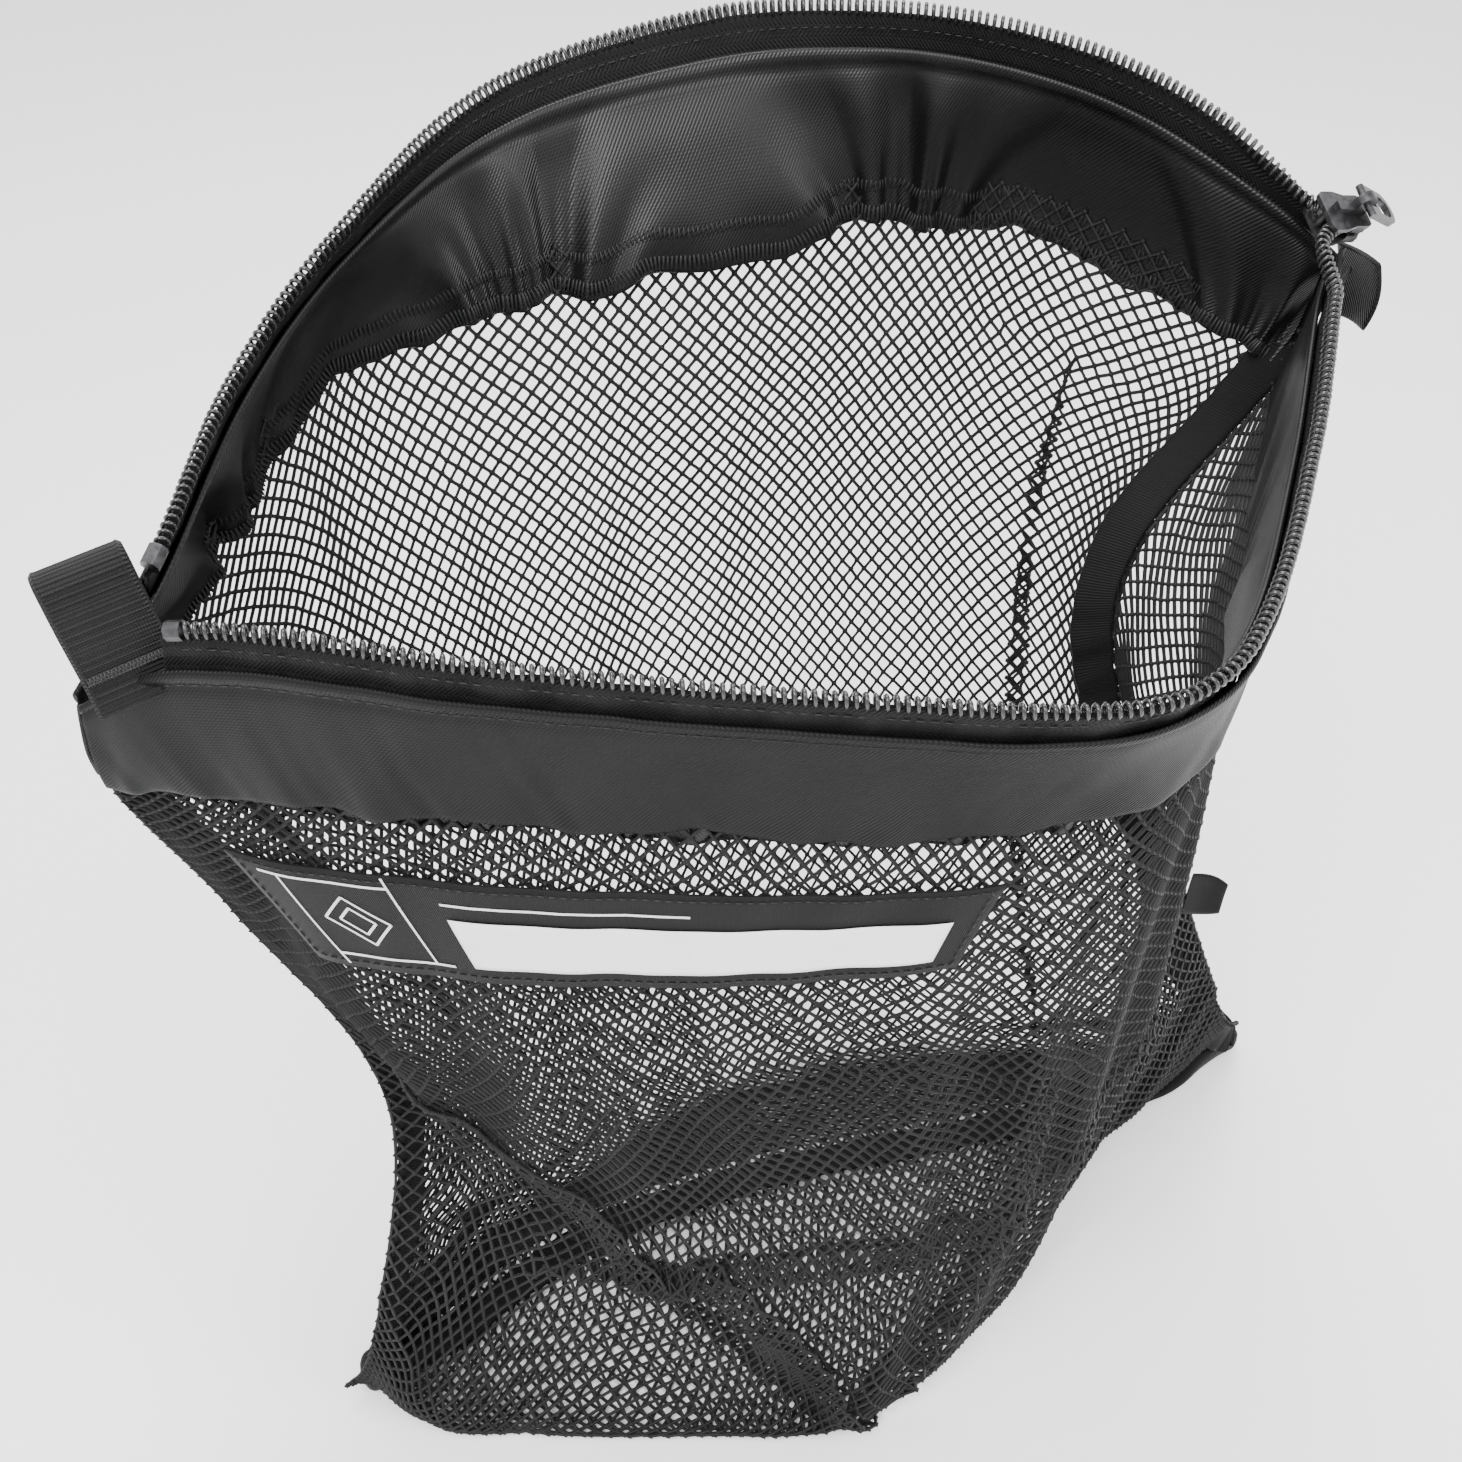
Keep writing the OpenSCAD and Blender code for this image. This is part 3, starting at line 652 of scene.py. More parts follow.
def through_nodes(obj, tree, name, **values):
    """Runs obj through a node group and returns the plain mesh that comes out."""
    modifier = obj.modifiers.new("nodes", "NODES")
    modifier.node_group = tree
    names = {item.name: item.identifier for item in tree.interface.items_tree if item.in_out == "INPUT"}
    for label, value in values.items():
        modifier[names[label.replace("_", " ")]] = value
    depsgraph = bpy.context.evaluated_depsgraph_get()
    mesh = bpy.data.meshes.new_from_object(obj.evaluated_get(depsgraph))
    bpy.data.objects.remove(obj, do_unlink=True)
    mesh.name = name
    made = bpy.data.objects.new(name, mesh)
    bpy.context.scene.collection.objects.link(made)
    return made


print("node group", THREADS.name, "with", len(THREADS.nodes), "nodes")

# %% [markdown]
# ## The net
# The net is a lattice of diamonds laid in the cloth's own width and height, so that it stretches and turns as
# the cloth does. Where the bag slumps, the net folds over itself and looks darker. A cloth run would need a
# very fine grid for that, so each pleat is a formula: inside it the cloth runs forwards, back and forwards
# again, three deep.

# %% Lay the net on the panels
NET_TOP = (TAPE_SHOW + BAND_H - NET_TUCK) / BAG_H
# The pull of a pleat on the cloth beside it dies out over PLEAT_FADE, and its narrow ends lie flatter
PLEAT_FADE, PLEAT_MIN = 0.11, 0.003
# How far a knot strays, and how far the net stops short of the bottom corners as a share of its height
THREAD_WANDER, CORNER_GATHER = 0.00012, 0.045


def pleat(u, v, lift, start, end, width, depth):
    """Folds the cloth along the line from start to end, in shares of the panel; returns new u, v and lift."""
    a, b = np.array(start) * (BAG_W, BAG_H), np.array(end) * (BAG_W, BAG_H)
    along = (b - a) / np.linalg.norm(b - a)
    across = np.array([-along[1], along[0]])
    x, y = u * BAG_W - a[0], v * BAG_H - a[1]
    t = (x * along[0] + y * along[1]) / np.linalg.norm(b - a)
    d = x * across[0] + y * across[1]
    w = width * np.sqrt(np.clip(4 * t * (1 - t), 0, 1)) + 1e-9
    inside = np.abs(d) < 1.5 * w
    zigzag = np.where(np.abs(d) < 0.5 * w, -d, np.sign(d) * (np.abs(d) - w))
    far = np.sign(d) * np.maximum(np.abs(d) - w * np.exp(-(np.abs(d) - 1.5 * w) / PLEAT_FADE), 0)
    new_d = np.where(inside, zigzag, far)
    fold_lift = np.where(inside, depth * np.cos(math.pi * d / (3 * w)) * np.sin(math.pi * d / w), 0)
    fold_lift = fold_lift * smooth(0, PLEAT_MIN, w)
    # The cloth keeps its place along the seams and the band
    held = smooth(0, 0.05, u) * smooth(1, 0.95, u) * smooth(1, 0.94, v) * smooth(NET_TOP, NET_TOP + 0.05, v)
    shift, fold_lift = (new_d - d) * held, fold_lift * held
    return u + shift * across[0] / BAG_W, v + shift * across[1] / BAG_H, lift + fold_lift


# Each pleat: its start and end in shares of the panel, then its width and depth in metres
FRONT_PLEATS = [
    ((-0.03, 0.47), (0.56, 0.84), 0.022, 0.0034),
    ((1.02, 0.46), (0.14, 0.66), 0.013, 0.0026),
    ((0.60, 0.40), (0.53, 0.76), 0.011, 0.0020),
]
BACK_PLEATS = [
    ((0.835, 0.20), (0.80, 0.80), 0.006, 0.0020),
    ((0.02, 0.14), (0.16, 0.66), 0.010, 0.0024),
]


def lattice(panel, is_left, pleats):
    """Knots and threads of one half of a panel's net."""
    step = NET_PITCH / math.sqrt(2)
    across, down = int(round(BAG_W / step)), int(round((1 - NET_TOP) * BAG_H / step))
    cols, rows = np.arange(across + 1), np.arange(down + 1)
    cols = cols[:across // 2 + 1] if is_left else cols[across // 2:]
    index = -np.ones((len(rows), len(cols)), int)
    r, c = np.meshgrid(rows, cols, indexing="ij")
    on = (r + c) % 2 == 0
    index[on] = np.arange(on.sum())
    u = c[on] / across
    v = NET_TOP + r[on] / down * (1 - NET_TOP)
    # The net is gathered into the seam just short of both bottom corners
    v = v - CORNER_GATHER * v**8 * (smooth(0.07, 0, u) + smooth(0.93, 1, u))
    u = u + rng.normal(0, THREAD_WANDER, len(u)) / BAG_W
    lift = np.zeros_like(u)
    for start, end, width, depth in pleats:
        u, v, lift = pleat(u, v, lift, start, end, width, depth)
    points = panel.at(np.clip(u, 0, 1), np.clip(v, 0, 1), lift)
    points[:, 2] = np.maximum(points[:, 2], THREAD_R)
    edges = []
    for i in range(len(rows) - 1):
        row, below = index[i], index[i + 1]
        right = (row[:-1] >= 0) & (below[1:] >= 0)
        left = (row[1:] >= 0) & (below[:-1] >= 0)
        edges.append(np.stack([row[:-1][right], below[1:][right]], 1))
        edges.append(np.stack([row[1:][left], below[:-1][left]], 1))
    # A thread runs down each side seam and along the bottom seam
    for rim in (index[:, 0] if is_left else index[:, -1], index[-1]):
        rim = rim[rim >= 0]
        edges.append(np.stack([rim[:-1], rim[1:]], 1))
    return points, np.concatenate(edges)


def net_piece(name, panel, is_left, pleats, node):
    points, edges = lattice(panel, is_left, pleats)
    net = through_nodes(
        new_mesh("lattice", points, [], edges), THREADS, name,
        Thread_Radius=THREAD_R, Knot_Radius=KNOT_R, Sides=4, Material=NET)
    finish_piece(net, NET, [node])
    print(name, len(points), "knots,", len(net.data.polygons), "faces")
    return net


nets = [
    net_piece(f"{side}_net_{half}", panel, half == "left", pleats, f"{side}_net")
    for side, panel, pleats in (("front", front, FRONT_PLEATS), ("back", back, BACK_PLEATS))
    for half in ("left", "right")
]

# %% [markdown]
# ## The satin band
# The outer band has a rolled top edge, a stitched groove under it and a loose lower edge that waves. The
# facing inside is gathered into upright wrinkles, more at the back than at the front. Both are swept strips
# and the wrinkles are added as waves, because they run with the seam and would cost a cloth run a fine grid.

# %% Bands and facings
BAND_TOP, BAND_LOW = TAPE_SHOW, TAPE_SHOW + BAND_H


def band_profile(sign, low):
    """Cross-section of one satin layer, from its rolled top down to its lower edge and back."""
    outer = [
        (BAND_TOP + 0.0004, 0.0016), (BAND_TOP + 0.0002, 0.0022), (BAND_TOP + 0.001, 0.0027),
        (BAND_TOP + 0.0022, 0.0028), (BAND_TOP + 0.0034, 0.0024), (BAND_TOP + 0.0044, 0.0016),
        (BAND_TOP + 0.0056, 0.0020), (BAND_TOP + 0.008, 0.0022),
    ]
    steps = np.linspace(BAND_TOP + 0.011, low - 0.002, 12)
    outer += [(float(d), 0.0022) for d in steps] + [(low - 0.0006, 0.0021), (low, 0.0018)]
    inner = [(low - 0.0002, 0.0014)] + [(float(d), 0.0013) for d in steps[::-1]]
    inner.append((BAND_TOP + 0.001, 0.0013))
    return [(d, sign * lift) for d, lift in outer + inner]


def band_wave(seed, amount):
    """Soft folds that grow towards the band's loose lower edge."""
    def wave(u, down):
        loose = smooth(BAND_TOP + 0.006, BAND_LOW, down)
        folds = ripple(u * BAG_W + down * 0.35, 0.075, seed)
        soft = ripple(u * BAG_W - down * 0.5, 0.03, seed + 1)
        return amount * (0.25 + loose) * np.maximum(folds + 0.35, -0.2) + amount * 0.22 * soft * (0.3 + loose)
    return wave


def edge_slide(seed, amount):
    """Lets a lower edge rise and dip along the bag."""
    def slide(u, down):
        return amount * ripple(u * BAG_W, 0.06, seed) * smooth(BAND_TOP + 0.012, BAND_LOW, down)
    return slide


def gather_wave(seed, amount, length):
    """Upright wrinkles that fan out below the zip."""
    def wave(u, down):
        body = smooth(BAND_TOP, BAND_TOP + 0.016, down)
        fan = u * BAG_W + (down - BAND_TOP) * 0.7 * np.sin(u * 23 + seed)
        wide = ripple(fan, length, seed, 2)
        fine = ripple(fan, length * 0.3, seed + 5, 2) * smooth(BAND_TOP + 0.01, BAND_LOW, down)
        return -amount * body * (np.maximum(wide, -0.5) + 0.35 * fine)
    return wave


band_u = np.linspace(0.002, 0.998, 560)
facing_u = np.linspace(0.02, 0.985, 620)
FACING_LOW = BAND_LOW + 0.005
outer, inner = band_profile(1, BAND_LOW), band_profile(-1, FACING_LOW)
front_folds, back_folds = band_wave(11, 0.0013), band_wave(21, 0.0013)
front_gathers, back_gathers = gather_wave(31, 0.0022, 0.07), gather_wave(41, 0.0042, 0.062)
back_dips = edge_slide(8, 0.0022)
front_band = swept("front_band_cloth", front, band_u, outer, front_folds, edge_slide(5, 0.0016))
back_band = swept("back_band_cloth", back, band_u, outer, back_folds, edge_slide(6, 0.0016))
front_facing = swept("front_band_facing_cloth", front, facing_u, inner, front_gathers, edge_slide(7, 0.001))
back_facing = swept("back_band_facing_cloth", back, facing_u, inner, back_gathers, back_dips)
finish_piece(front_band, SATIN, ["front_band"])
finish_piece(back_band, SATIN, ["back_band"])
finish_piece(front_facing, FACING, ["front_band_facing"])
finish_piece(back_facing, FACING, ["back_band_facing"])
print("band faces", len(front_band.data.polygons), len(back_facing.data.polygons))

# %% [markdown]
# ## Zip
# A coil zip is nylon wire wound round and sewn to two tapes. A bumpy rope would do from afar, but here the
# turns are seen one by one. Each coil is therefore one wound turn, repeated at a 2.1 mm pitch along the mouth
# and on into the slider, where the two coils come together. Each tape is a flat strip.


# %% Tapes and coils
def ring_piece(name, long_r, short_r, wire_r, turns=12, sides=5, lean=0.18):
    """One turn of the coil: an oval of wire round Z, long along X."""
    a = np.linspace(0, 2 * math.pi, turns, endpoint=False)
    centre = np.stack([long_r * np.cos(a), short_r * np.sin(a), lean * long_r * np.sin(a)], -1)
    radial = np.stack([np.cos(a), np.sin(a), 0 * a], -1)
    up = np.array([0, 0, 1.0])
    k = np.linspace(0, 2 * math.pi, sides, endpoint=False)
    section = np.cos(k)[None, :, None] * radial[:, None] + np.sin(k)[None, :, None] * up
    points = centre[:, None] + wire_r * section
    faces = []
    for i in range(turns):
        here, after = i * sides, (i + 1) % turns * sides
        for j in range(sides):
            beside = (j + 1) % sides
            faces.append((here + j, after + j, after + beside, here + beside))
    obj = outward(new_mesh(name, points.reshape(-1, 3), faces))
    obj.data.polygons.foreach_set("use_smooth", [True] * len(obj.data.polygons))
    return obj


def stitch_piece(name, length, radius, sides=6, rings=5):
    """A short bead of thread along Z."""
    a = np.linspace(0.12, math.pi - 0.12, rings)
    k = np.linspace(0, 2 * math.pi, sides, endpoint=False)
    points = np.stack([
        radius * np.sin(a)[:, None] * np.cos(k), radius * np.sin(a)[:, None] * np.sin(k),
        -length / 2 * np.cos(a)[:, None] + 0 * k], -1)
    return tube_grid(name, points)


def mouth_line(panel, u0, u1, count):
    """Points along the mouth, each with the direction that leads up out of the tape."""
    u = np.linspace(u0, u1, count)
    points = panel.at(u, 0 * u)
    down = panel.at(u, 0 * u + 0.02) - points
    return points, -down / np.linalg.norm(down, axis=1, keepdims=True)


# The place of the slider, and the slope and the sideways turn of the closed coils inside it
CHAIN_START = np.array([0.141, 0.024, 0.338])
CHAIN_PITCH, CHAIN_ROLL = math.radians(10), math.radians(30)


def in_chain(p):
    """A point of the slider's own frame, in the bag's frame."""
    cos_roll, sin_roll = math.cos(CHAIN_ROLL), math.sin(CHAIN_ROLL)
    cos_pitch, sin_pitch = math.cos(CHAIN_PITCH), math.sin(CHAIN_PITCH)
    x, y, z = p
    y, z = y * cos_roll - z * sin_roll, y * sin_roll + z * cos_roll
    return CHAIN_START + [x * cos_pitch + z * sin_pitch, y, z * cos_pitch - x * sin_pitch]


def resample(points, count):
    """The same line with evenly spaced points, and its length."""
    d = np.concatenate([[0], np.cumsum(np.linalg.norm(np.diff(points, axis=0), axis=1))])
    return spline(d / d[-1], points, np.linspace(0, 1, count)), d[-1]


# Where a coil runs inside the slider, in millimetres along it and out from its middle
INTO_SLIDER = ((-10, 8.4), (-6, 4.6), (-2, 2.4), (1, 1.9), (4.8, 1.9))
MOUTH_STEPS, COIL_STEPS, MERGE_L = 60, 700, 0.03


def coil(name, panel, hand, node):
    """One coil: it follows the mouth, then runs into the slider on its own side."""
    points, side = mouth_line(panel, ZIP_FROM + 0.012, ZIP_TO, MOUTH_STEPS)
    into = [in_chain((x * MM, hand * y * MM, 0)) for x, y in INTO_SLIDER]
    line, length = resample(np.concatenate([points, into]), COIL_STEPS)
    across = in_chain((0, -hand, 0)) - in_chain((0, 0, 0))
    along = np.linspace(0, 1, COIL_STEPS)
    share = smooth(0.93, 0.98, along)[:, None]
    last = MOUTH_STEPS - 1
    near = side[np.clip((along * length / (length - MERGE_L) * last).astype(int), 0, last)]
    sides = near * (1 - share) + across * share
    turn = ring_piece("turn", long_r=COIL_R, short_r=0.0013, wire_r=0.00056)
    made = through_nodes(path_object(line, sides), REPEAT, name,
                         Pitch=COIL_PITCH, Piece=turn, Jitter=0.03, Seed=4, Material=COIL)
    bpy.data.objects.remove(turn, do_unlink=True)
    finish_piece(made, COIL, [node])
    print(name, "length", round(float(length) * 1000), "mm,", int(length / COIL_PITCH), "turns")
    return made


def tape(name, panel, node):
    us = np.linspace(ZIP_FROM - 0.004, TAPE_TO, 500)
    half = [(0.0012, 0.0004), (0.003, 0.00055), (0.0055, 0.0004), (0.009, 0.0004), (0.014, 0.0004)]
    profile = half + [(0.0142, 0)] + [(down, -lift) for down, lift in half[::-1]]
    made = swept(name, panel, us, profile, lambda u, d: 0.00035 * ripple(u * BAG_W, 0.02, 61))
    return finish_piece(made, TAPE, [node])


for side, panel, hand in (("front", front, -1), ("back", back, 1)):
    coil(f"{side}_zip_coil_turns", panel, hand, f"{side}_zip_coil")
front_tape = tape("front_zip_tape_cloth", front, "front_zip_tape")
back_tape = tape("back_zip_tape_cloth", back, "back_zip_tape")
print("tape faces", len(front_tape.data.polygons), len(back_tape.data.polygons))

# %% [markdown]
# ## Stitches
# Rows of thread hold the band: one under its rolled edge, one on the zip tape, and two rows of dense
# overlock at the lower edge of the back facing. A drawn line would lie flat, so each stitch is a bead of
# thread that catches the light, and each row follows the same waves as the cloth under it.


# %% Stitch rows
def sew(name, points, sides, pitch, bead, jitter, seed, nodes=()):
    """Repeats a bead of thread along a line of points."""
    made = through_nodes(path_object(points, sides), REPEAT, name,
                         Pitch=pitch, Piece=bead, Jitter=jitter, Seed=seed, Material=THREAD)
    bpy.data.objects.remove(bead, do_unlink=True)
    return finish_piece(made, THREAD, nodes)


def stitch_row(name, panel, down, lift, pitch, length, radius, u0=0.02, u1=0.98, lean=0.0,
               wave=None, slide=None):
    """A row along the panel's width; lean turns each bead away from the row."""
    u = np.linspace(u0, u1, 520)
    d = np.full_like(u, down)
    shift = slide(u, d) if slide else 0
    raise_by = lift + (wave(u, d) if wave else 0)
    points = panel.at(u, (d + shift) / BAG_H, raise_by)
    sides = panel.normals(u, (d + shift) / BAG_H)
    bead = stitch_piece("bead", length, radius)
    if lean:
        bead.data.transform(Matrix.Rotation(lean, 4, "X"))
    return sew(name, points, sides, pitch, bead, 0.08, 9)


EDGE_ROW = dict(down=BAND_TOP + 0.0044, lift=0.0018, pitch=0.0032, length=0.0024, radius=0.00026)
TAPE_ROW = dict(down=0.0042, pitch=0.0030, length=0.0022, radius=0.00022, u0=ZIP_FROM + 0.01, u1=ZIP_TO)
OVERLOCK = dict(lean=math.pi / 2, wave=back_gathers, slide=back_dips)
stitches = [
    stitch_row("front_edge_stitches", front, wave=front_folds, **EDGE_ROW),
    stitch_row("back_edge_stitches", back, wave=back_folds, **EDGE_ROW),
    stitch_row("front_tape_stitches", front, lift=0.0006, **TAPE_ROW),
    stitch_row("back_tape_stitches", back, lift=-0.0007, **TAPE_ROW),
    stitch_row("back_overlock_low", back, FACING_LOW - 0.003, -0.0026, 0.0013, 0.0046, 0.0005,
               0.05, 0.97, **OVERLOCK),
    stitch_row("back_overlock_high", back, FACING_LOW - 0.010, -0.0024, 0.0014, 0.0034, 0.0004,
               0.1, 0.9, **OVERLOCK),
]
print("stitch rows", len(stitches), "faces", sum(len(row.data.polygons) for row in stitches))

# %% [markdown]
# ## Seam bindings
# Inside the bag the seam allowances are bound with tape: one strip down each side seam and a thicker rolled
# strip along the bottom seam, which swells into a bunch at both corners. Each is a flat oval swept along its
# seam, since a strip with soft edges reads as doubled tape where a flat ribbon would not.


# %% Bindings
def oval_strip(name, path, wide, high, width, thick, node):
    """Sweeps a flat oval along path; width and thick may vary along it."""
    k = np.linspace(0, 2 * math.pi, 14, endpoint=False)
    # A power under 1 makes the oval squarer, like folded tape
    power = 0.55
    x = np.sign(np.cos(k)) * np.abs(np.cos(k)) ** power
    y = np.sign(np.sin(k)) * np.abs(np.sin(k)) ** power
    width, thick = np.broadcast_to(width, len(path)), np.broadcast_to(thick, len(path))
    across = width[:, None, None] * x[None, :, None] * wide[:, None]
    through = thick[:, None, None] * y[None, :, None] * high[:, None]
    points = path[:, None] + 0.5 * (across + through)
    points[..., 2] = np.maximum(points[..., 2], 0.0007)
    length = np.concatenate([[0], np.cumsum(np.linalg.norm(np.diff(path, axis=0), axis=1))])
    shape = points.shape[:2]
    uv = np.stack([np.broadcast_to(length[:, None], shape), np.broadcast_to(x * 0.01, shape)], -1)
    return finish_piece(tube_grid(name, points, uv), BINDING, [node])


def unit(a):
    return a / np.maximum(np.linalg.norm(a, axis=-1, keepdims=True), 1e-12)


def side_binding(name, u, step, tape_w, shown, node):
    v = np.linspace(0.115, 0.93, 150)
    seam = (front.at(u + 0 * v, v) + back.at(u + 0 * v, v)) / 2
    inner = (front.at(u + step + 0 * v, v) + back.at(u + step + 0 * v, v)) / 2
    inward = unit(inner - seam)
    along = unit(np.gradient(seam, axis=0))
    # The strip lies partly flat against the back net, so its face is seen from the mouth
    flat = unit(np.cross(along, [0.5, 0.5, -0.7]))
    flat = flat * -np.sign(flat[:, :1])
    inward = unit((1 - shown) * inward + shown * flat)
    high = unit(np.cross(along, inward))
    width = (tape_w + 0.0012 * ripple(v * BAG_H, 0.09, 72)) * np.minimum(1, 0.35 + (0.93 - v) / 0.05)
    path = seam + inward * (width[:, None] / 2 + 0.0008)
    return oval_strip(name, path, inward, high, width, 0.0016, node)


def bottom_binding():
    start, stop = 0.012, 0.985
    u = np.linspace(start, stop, 300)
    seam = front.at(u, 1 + 0 * u)
    end = np.maximum(smooth(0.15, 0.02, u), smooth(0.87, 0.975, u))
    near_end = np.clip(np.minimum(u - start, stop - u) / 0.014, 0.02, 1)
    close = np.sqrt(near_end * (2 - near_end))
    body = 0.0022 + 0.008 * end
    width = (0.013 + 0.0012 * ripple(u * BAG_W, 0.05, 81)) * close
    wide = unit(np.stack([0.1 + 0 * u, -1 + 0 * u, 0.06 + 0 * u], -1))
    high = np.tile([0.0, 0.06, 1.0], (len(u), 1))
    path = seam + wide * (0.011 - 0.009 * end)[:, None] + [0.004, 0.002, 0] * smooth(0.1, 0, u)[:, None]
    path[:, 2] = 0.0012 + body / 2 + 0.001 * (1 + ripple(u * BAG_W, 0.06, 83)) * (1 - end)
    return oval_strip("bottom_seam_tape", path, wide, high, width, body * close, "bottom_seam_binding")


left_binding = side_binding("left_seam_tape", 0.0, 0.05, 0.009, 0, "left_seam_binding")
right_binding = side_binding("right_seam_tape", 1.0, -0.05, 0.0125, 0.8, "right_seam_binding")
bottom_strip = bottom_binding()
print("bindings", left_binding.name, right_binding.name, bottom_strip.name)

# %% [markdown]
# ## Labels
# The woven name label lies on the front net. It carries a plain white writing panel and a generic mark: a
# small frame with a tick at each corner, two nested diamonds and a plain bar. The marks could be painted in
# the shader, but thin raised bars keep sharp edges like woven ones. The label's edge is stitched down.

# %% Name label
# The label's rough width and height, its height off the net, and its corners in shares of the panel
LABEL_SIZE = np.array([0.19, 0.034])
LABEL_LIFT, LABEL_T = 0.0030, 0.0006
LABEL_CORNERS = np.array([[0.062, 0.185], [0.53, 0.165], [0.510, 0.243], [0.100, 0.305]])


def label_uv(s, t):
    """The share of the panel's width and height at s along and t down the label."""
    s, t = np.asarray(s, float)[..., None], np.asarray(t, float)[..., None]
    top = LABEL_CORNERS[0] * (1 - s) + LABEL_CORNERS[1] * s
    low = LABEL_CORNERS[3] * (1 - s) + LABEL_CORNERS[2] * s
    return top * (1 - t) + low * t


def label_wave(s, t):
    return 0.0006 * ripple(np.asarray(s) * 0.15 + 0.3 * np.asarray(t) * 0.03, 0.05, 91)


def label_slab(name, s0, s1, t0, t1, lift, thick, material, nodes):
    """A thin slab over part of the label, which follows the panel under it."""
    s, t = np.meshgrid(np.linspace(s0, s1, 90), np.linspace(t0, t1, 12), indexing="ij")
    q = label_uv(s, t)
    top = stiff.at(q[..., 0], q[..., 1], lift + thick + label_wave(s, t))
    low = stiff.at(q[..., 0], q[..., 1], lift + label_wave(s, t))
    points = np.concatenate([top, low[:, ::-1]], axis=1)
    uv = np.stack([s * 0.15, t * 0.03], -1)
    uv = np.concatenate([uv, uv[:, ::-1]], axis=1)
    return finish_piece(tube_grid(name, points, uv), material, nodes)


def label_line(bars, half, lift):
    """Thin raised bars between pairs of label points (s, t); half is half their width in metres."""
    verts, faces = [], []
    for start_at, stop_at in bars:
        a, b = np.array(start_at) * LABEL_SIZE, np.array(stop_at) * LABEL_SIZE
        along = (b - a) / np.linalg.norm(b - a)
        across = np.array([-along[1], along[0]]) * half
        steps = np.linspace(0, 1, 9)
        middle = a[None] * (1 - steps[:, None]) + b[None] * steps[:, None]
        left, right = (middle + across) / LABEL_SIZE, (middle - across) / LABEL_SIZE
        start = len(verts)
        for k in range(len(steps)):
            for q in (left[k], right[k]):
                for up in (0, 0.00015):
                    uv = label_uv(q[0], q[1])
                    verts.append(stiff.at(uv[0], uv[1], lift + up + float(label_wave(q[0], q[1]))))
        for k in range(len(steps) - 1):
            i = start + 4 * k
            faces += [(i, i + 1, i + 5, i + 4), (i + 2, i + 6, i + 7, i + 3)]
            faces += [(i + 1, i + 3, i + 7, i + 5), (i, i + 4, i + 6, i + 2)]
        j = start + 4 * (len(steps) - 1)
        faces += [(start, start + 2, start + 3, start + 1), (j, j + 1, j + 3, j + 2)]
    return verts, faces


name_label = label_slab(
    "name_label_cloth", 0, 1, 0, 1, LABEL_LIFT - LABEL_T, LABEL_T, LABEL, ["name_label"])
writing = label_slab(
    "writing_cloth", 0.30, 0.955, 0.36, 0.84, LABEL_LIFT + 0.0003, 0.00015, WHITE,
    ["writing_panel"])


def generic_mark():
    left, right, top, low = 0.07, 0.235, 0.12, 0.86
    mid_s, mid_t = (left + right) / 2, (top + low) / 2
    corners = [(left, top), (right, top), (right, low), (left, low)]
    bars = list(zip(corners, corners[1:] + corners[:1]))
    for scale in (0.62, 0.34):
        ds, dt = (right - left) / 2 * scale, (low - top) / 2 * scale
        ring4 = [(mid_s - ds, mid_t), (mid_s, mid_t - dt), (mid_s + ds, mid_t), (mid_s, mid_t + dt)]
        bars += list(zip(ring4, ring4[1:] + ring4[:1]))
    ticks = ((left, top, -0.03, 0), (right, low, 0.03, 0), (left, low, 0, 0.1), (right, top, 0, -0.1))
    bars += [((s, t), (s + ds, t + dt)) for s, t, ds, dt in ticks]
    # The plain bar lies above the writing panel
    bars.append(((0.30, 0.22), (0.62, 0.22)))
    verts, faces = label_line(bars, 0.00032, LABEL_LIFT + 0.00008)
    return finish_piece(outward(new_mesh("label_mark", verts, faces)), PRINT, flat=True)


mark = generic_mark()


def label_stitches():
    corners = np.array([(0.012, 0.06), (0.988, 0.06), (0.988, 0.94), (0.012, 0.94), (0.012, 0.06)])
    runs = [np.linspace(a, b, 160, endpoint=False) for a, b in zip(corners[:-1], corners[1:])]
    st = np.concatenate(runs)
    q = label_uv(st[:, 0], st[:, 1])
    points = stiff.at(q[:, 0], q[:, 1], LABEL_LIFT + 0.0001 + label_wave(st[:, 0], st[:, 1]))
    bead = stitch_piece("bead", 0.0020, 0.00024)
    return sew("label_stitches", points, stiff.normals(q[:, 0], q[:, 1]), 0.0028, bead, 0.06, 12)


label_row = label_stitches()
print("label faces", len(name_label.data.polygons), "mark", len(mark.data.polygons),
      "stitches", len(label_row.data.polygons))

# %% [markdown]
# ## Webbing loop, end tab and flag label
# The loop is 20 mm webbing folded over, with ribs across it and rolled edges. A bent box would show no fold,
# so its middle line is drawn from the side and given thickness, and the ribs are real relief. The end tab and
# the flag label are small doubled pieces, a little bowed.


# %% Loop and tabs
def on_loop(p):
    """A point of the loop's own upright frame, in the bag's frame."""
    lean, roll = math.radians(-30), math.radians(-9)
    x, y, z = p[..., 0], p[..., 1], p[..., 2]
    x, z = x * math.cos(roll) + z * math.sin(roll), -x * math.sin(roll) + z * math.cos(roll)
    y, z = y * math.cos(lean) - z * math.sin(lean), y * math.sin(lean) + z * math.cos(lean)
    return np.array([-0.175, 0.024, 0.294]) + np.stack([x, y, z], -1)


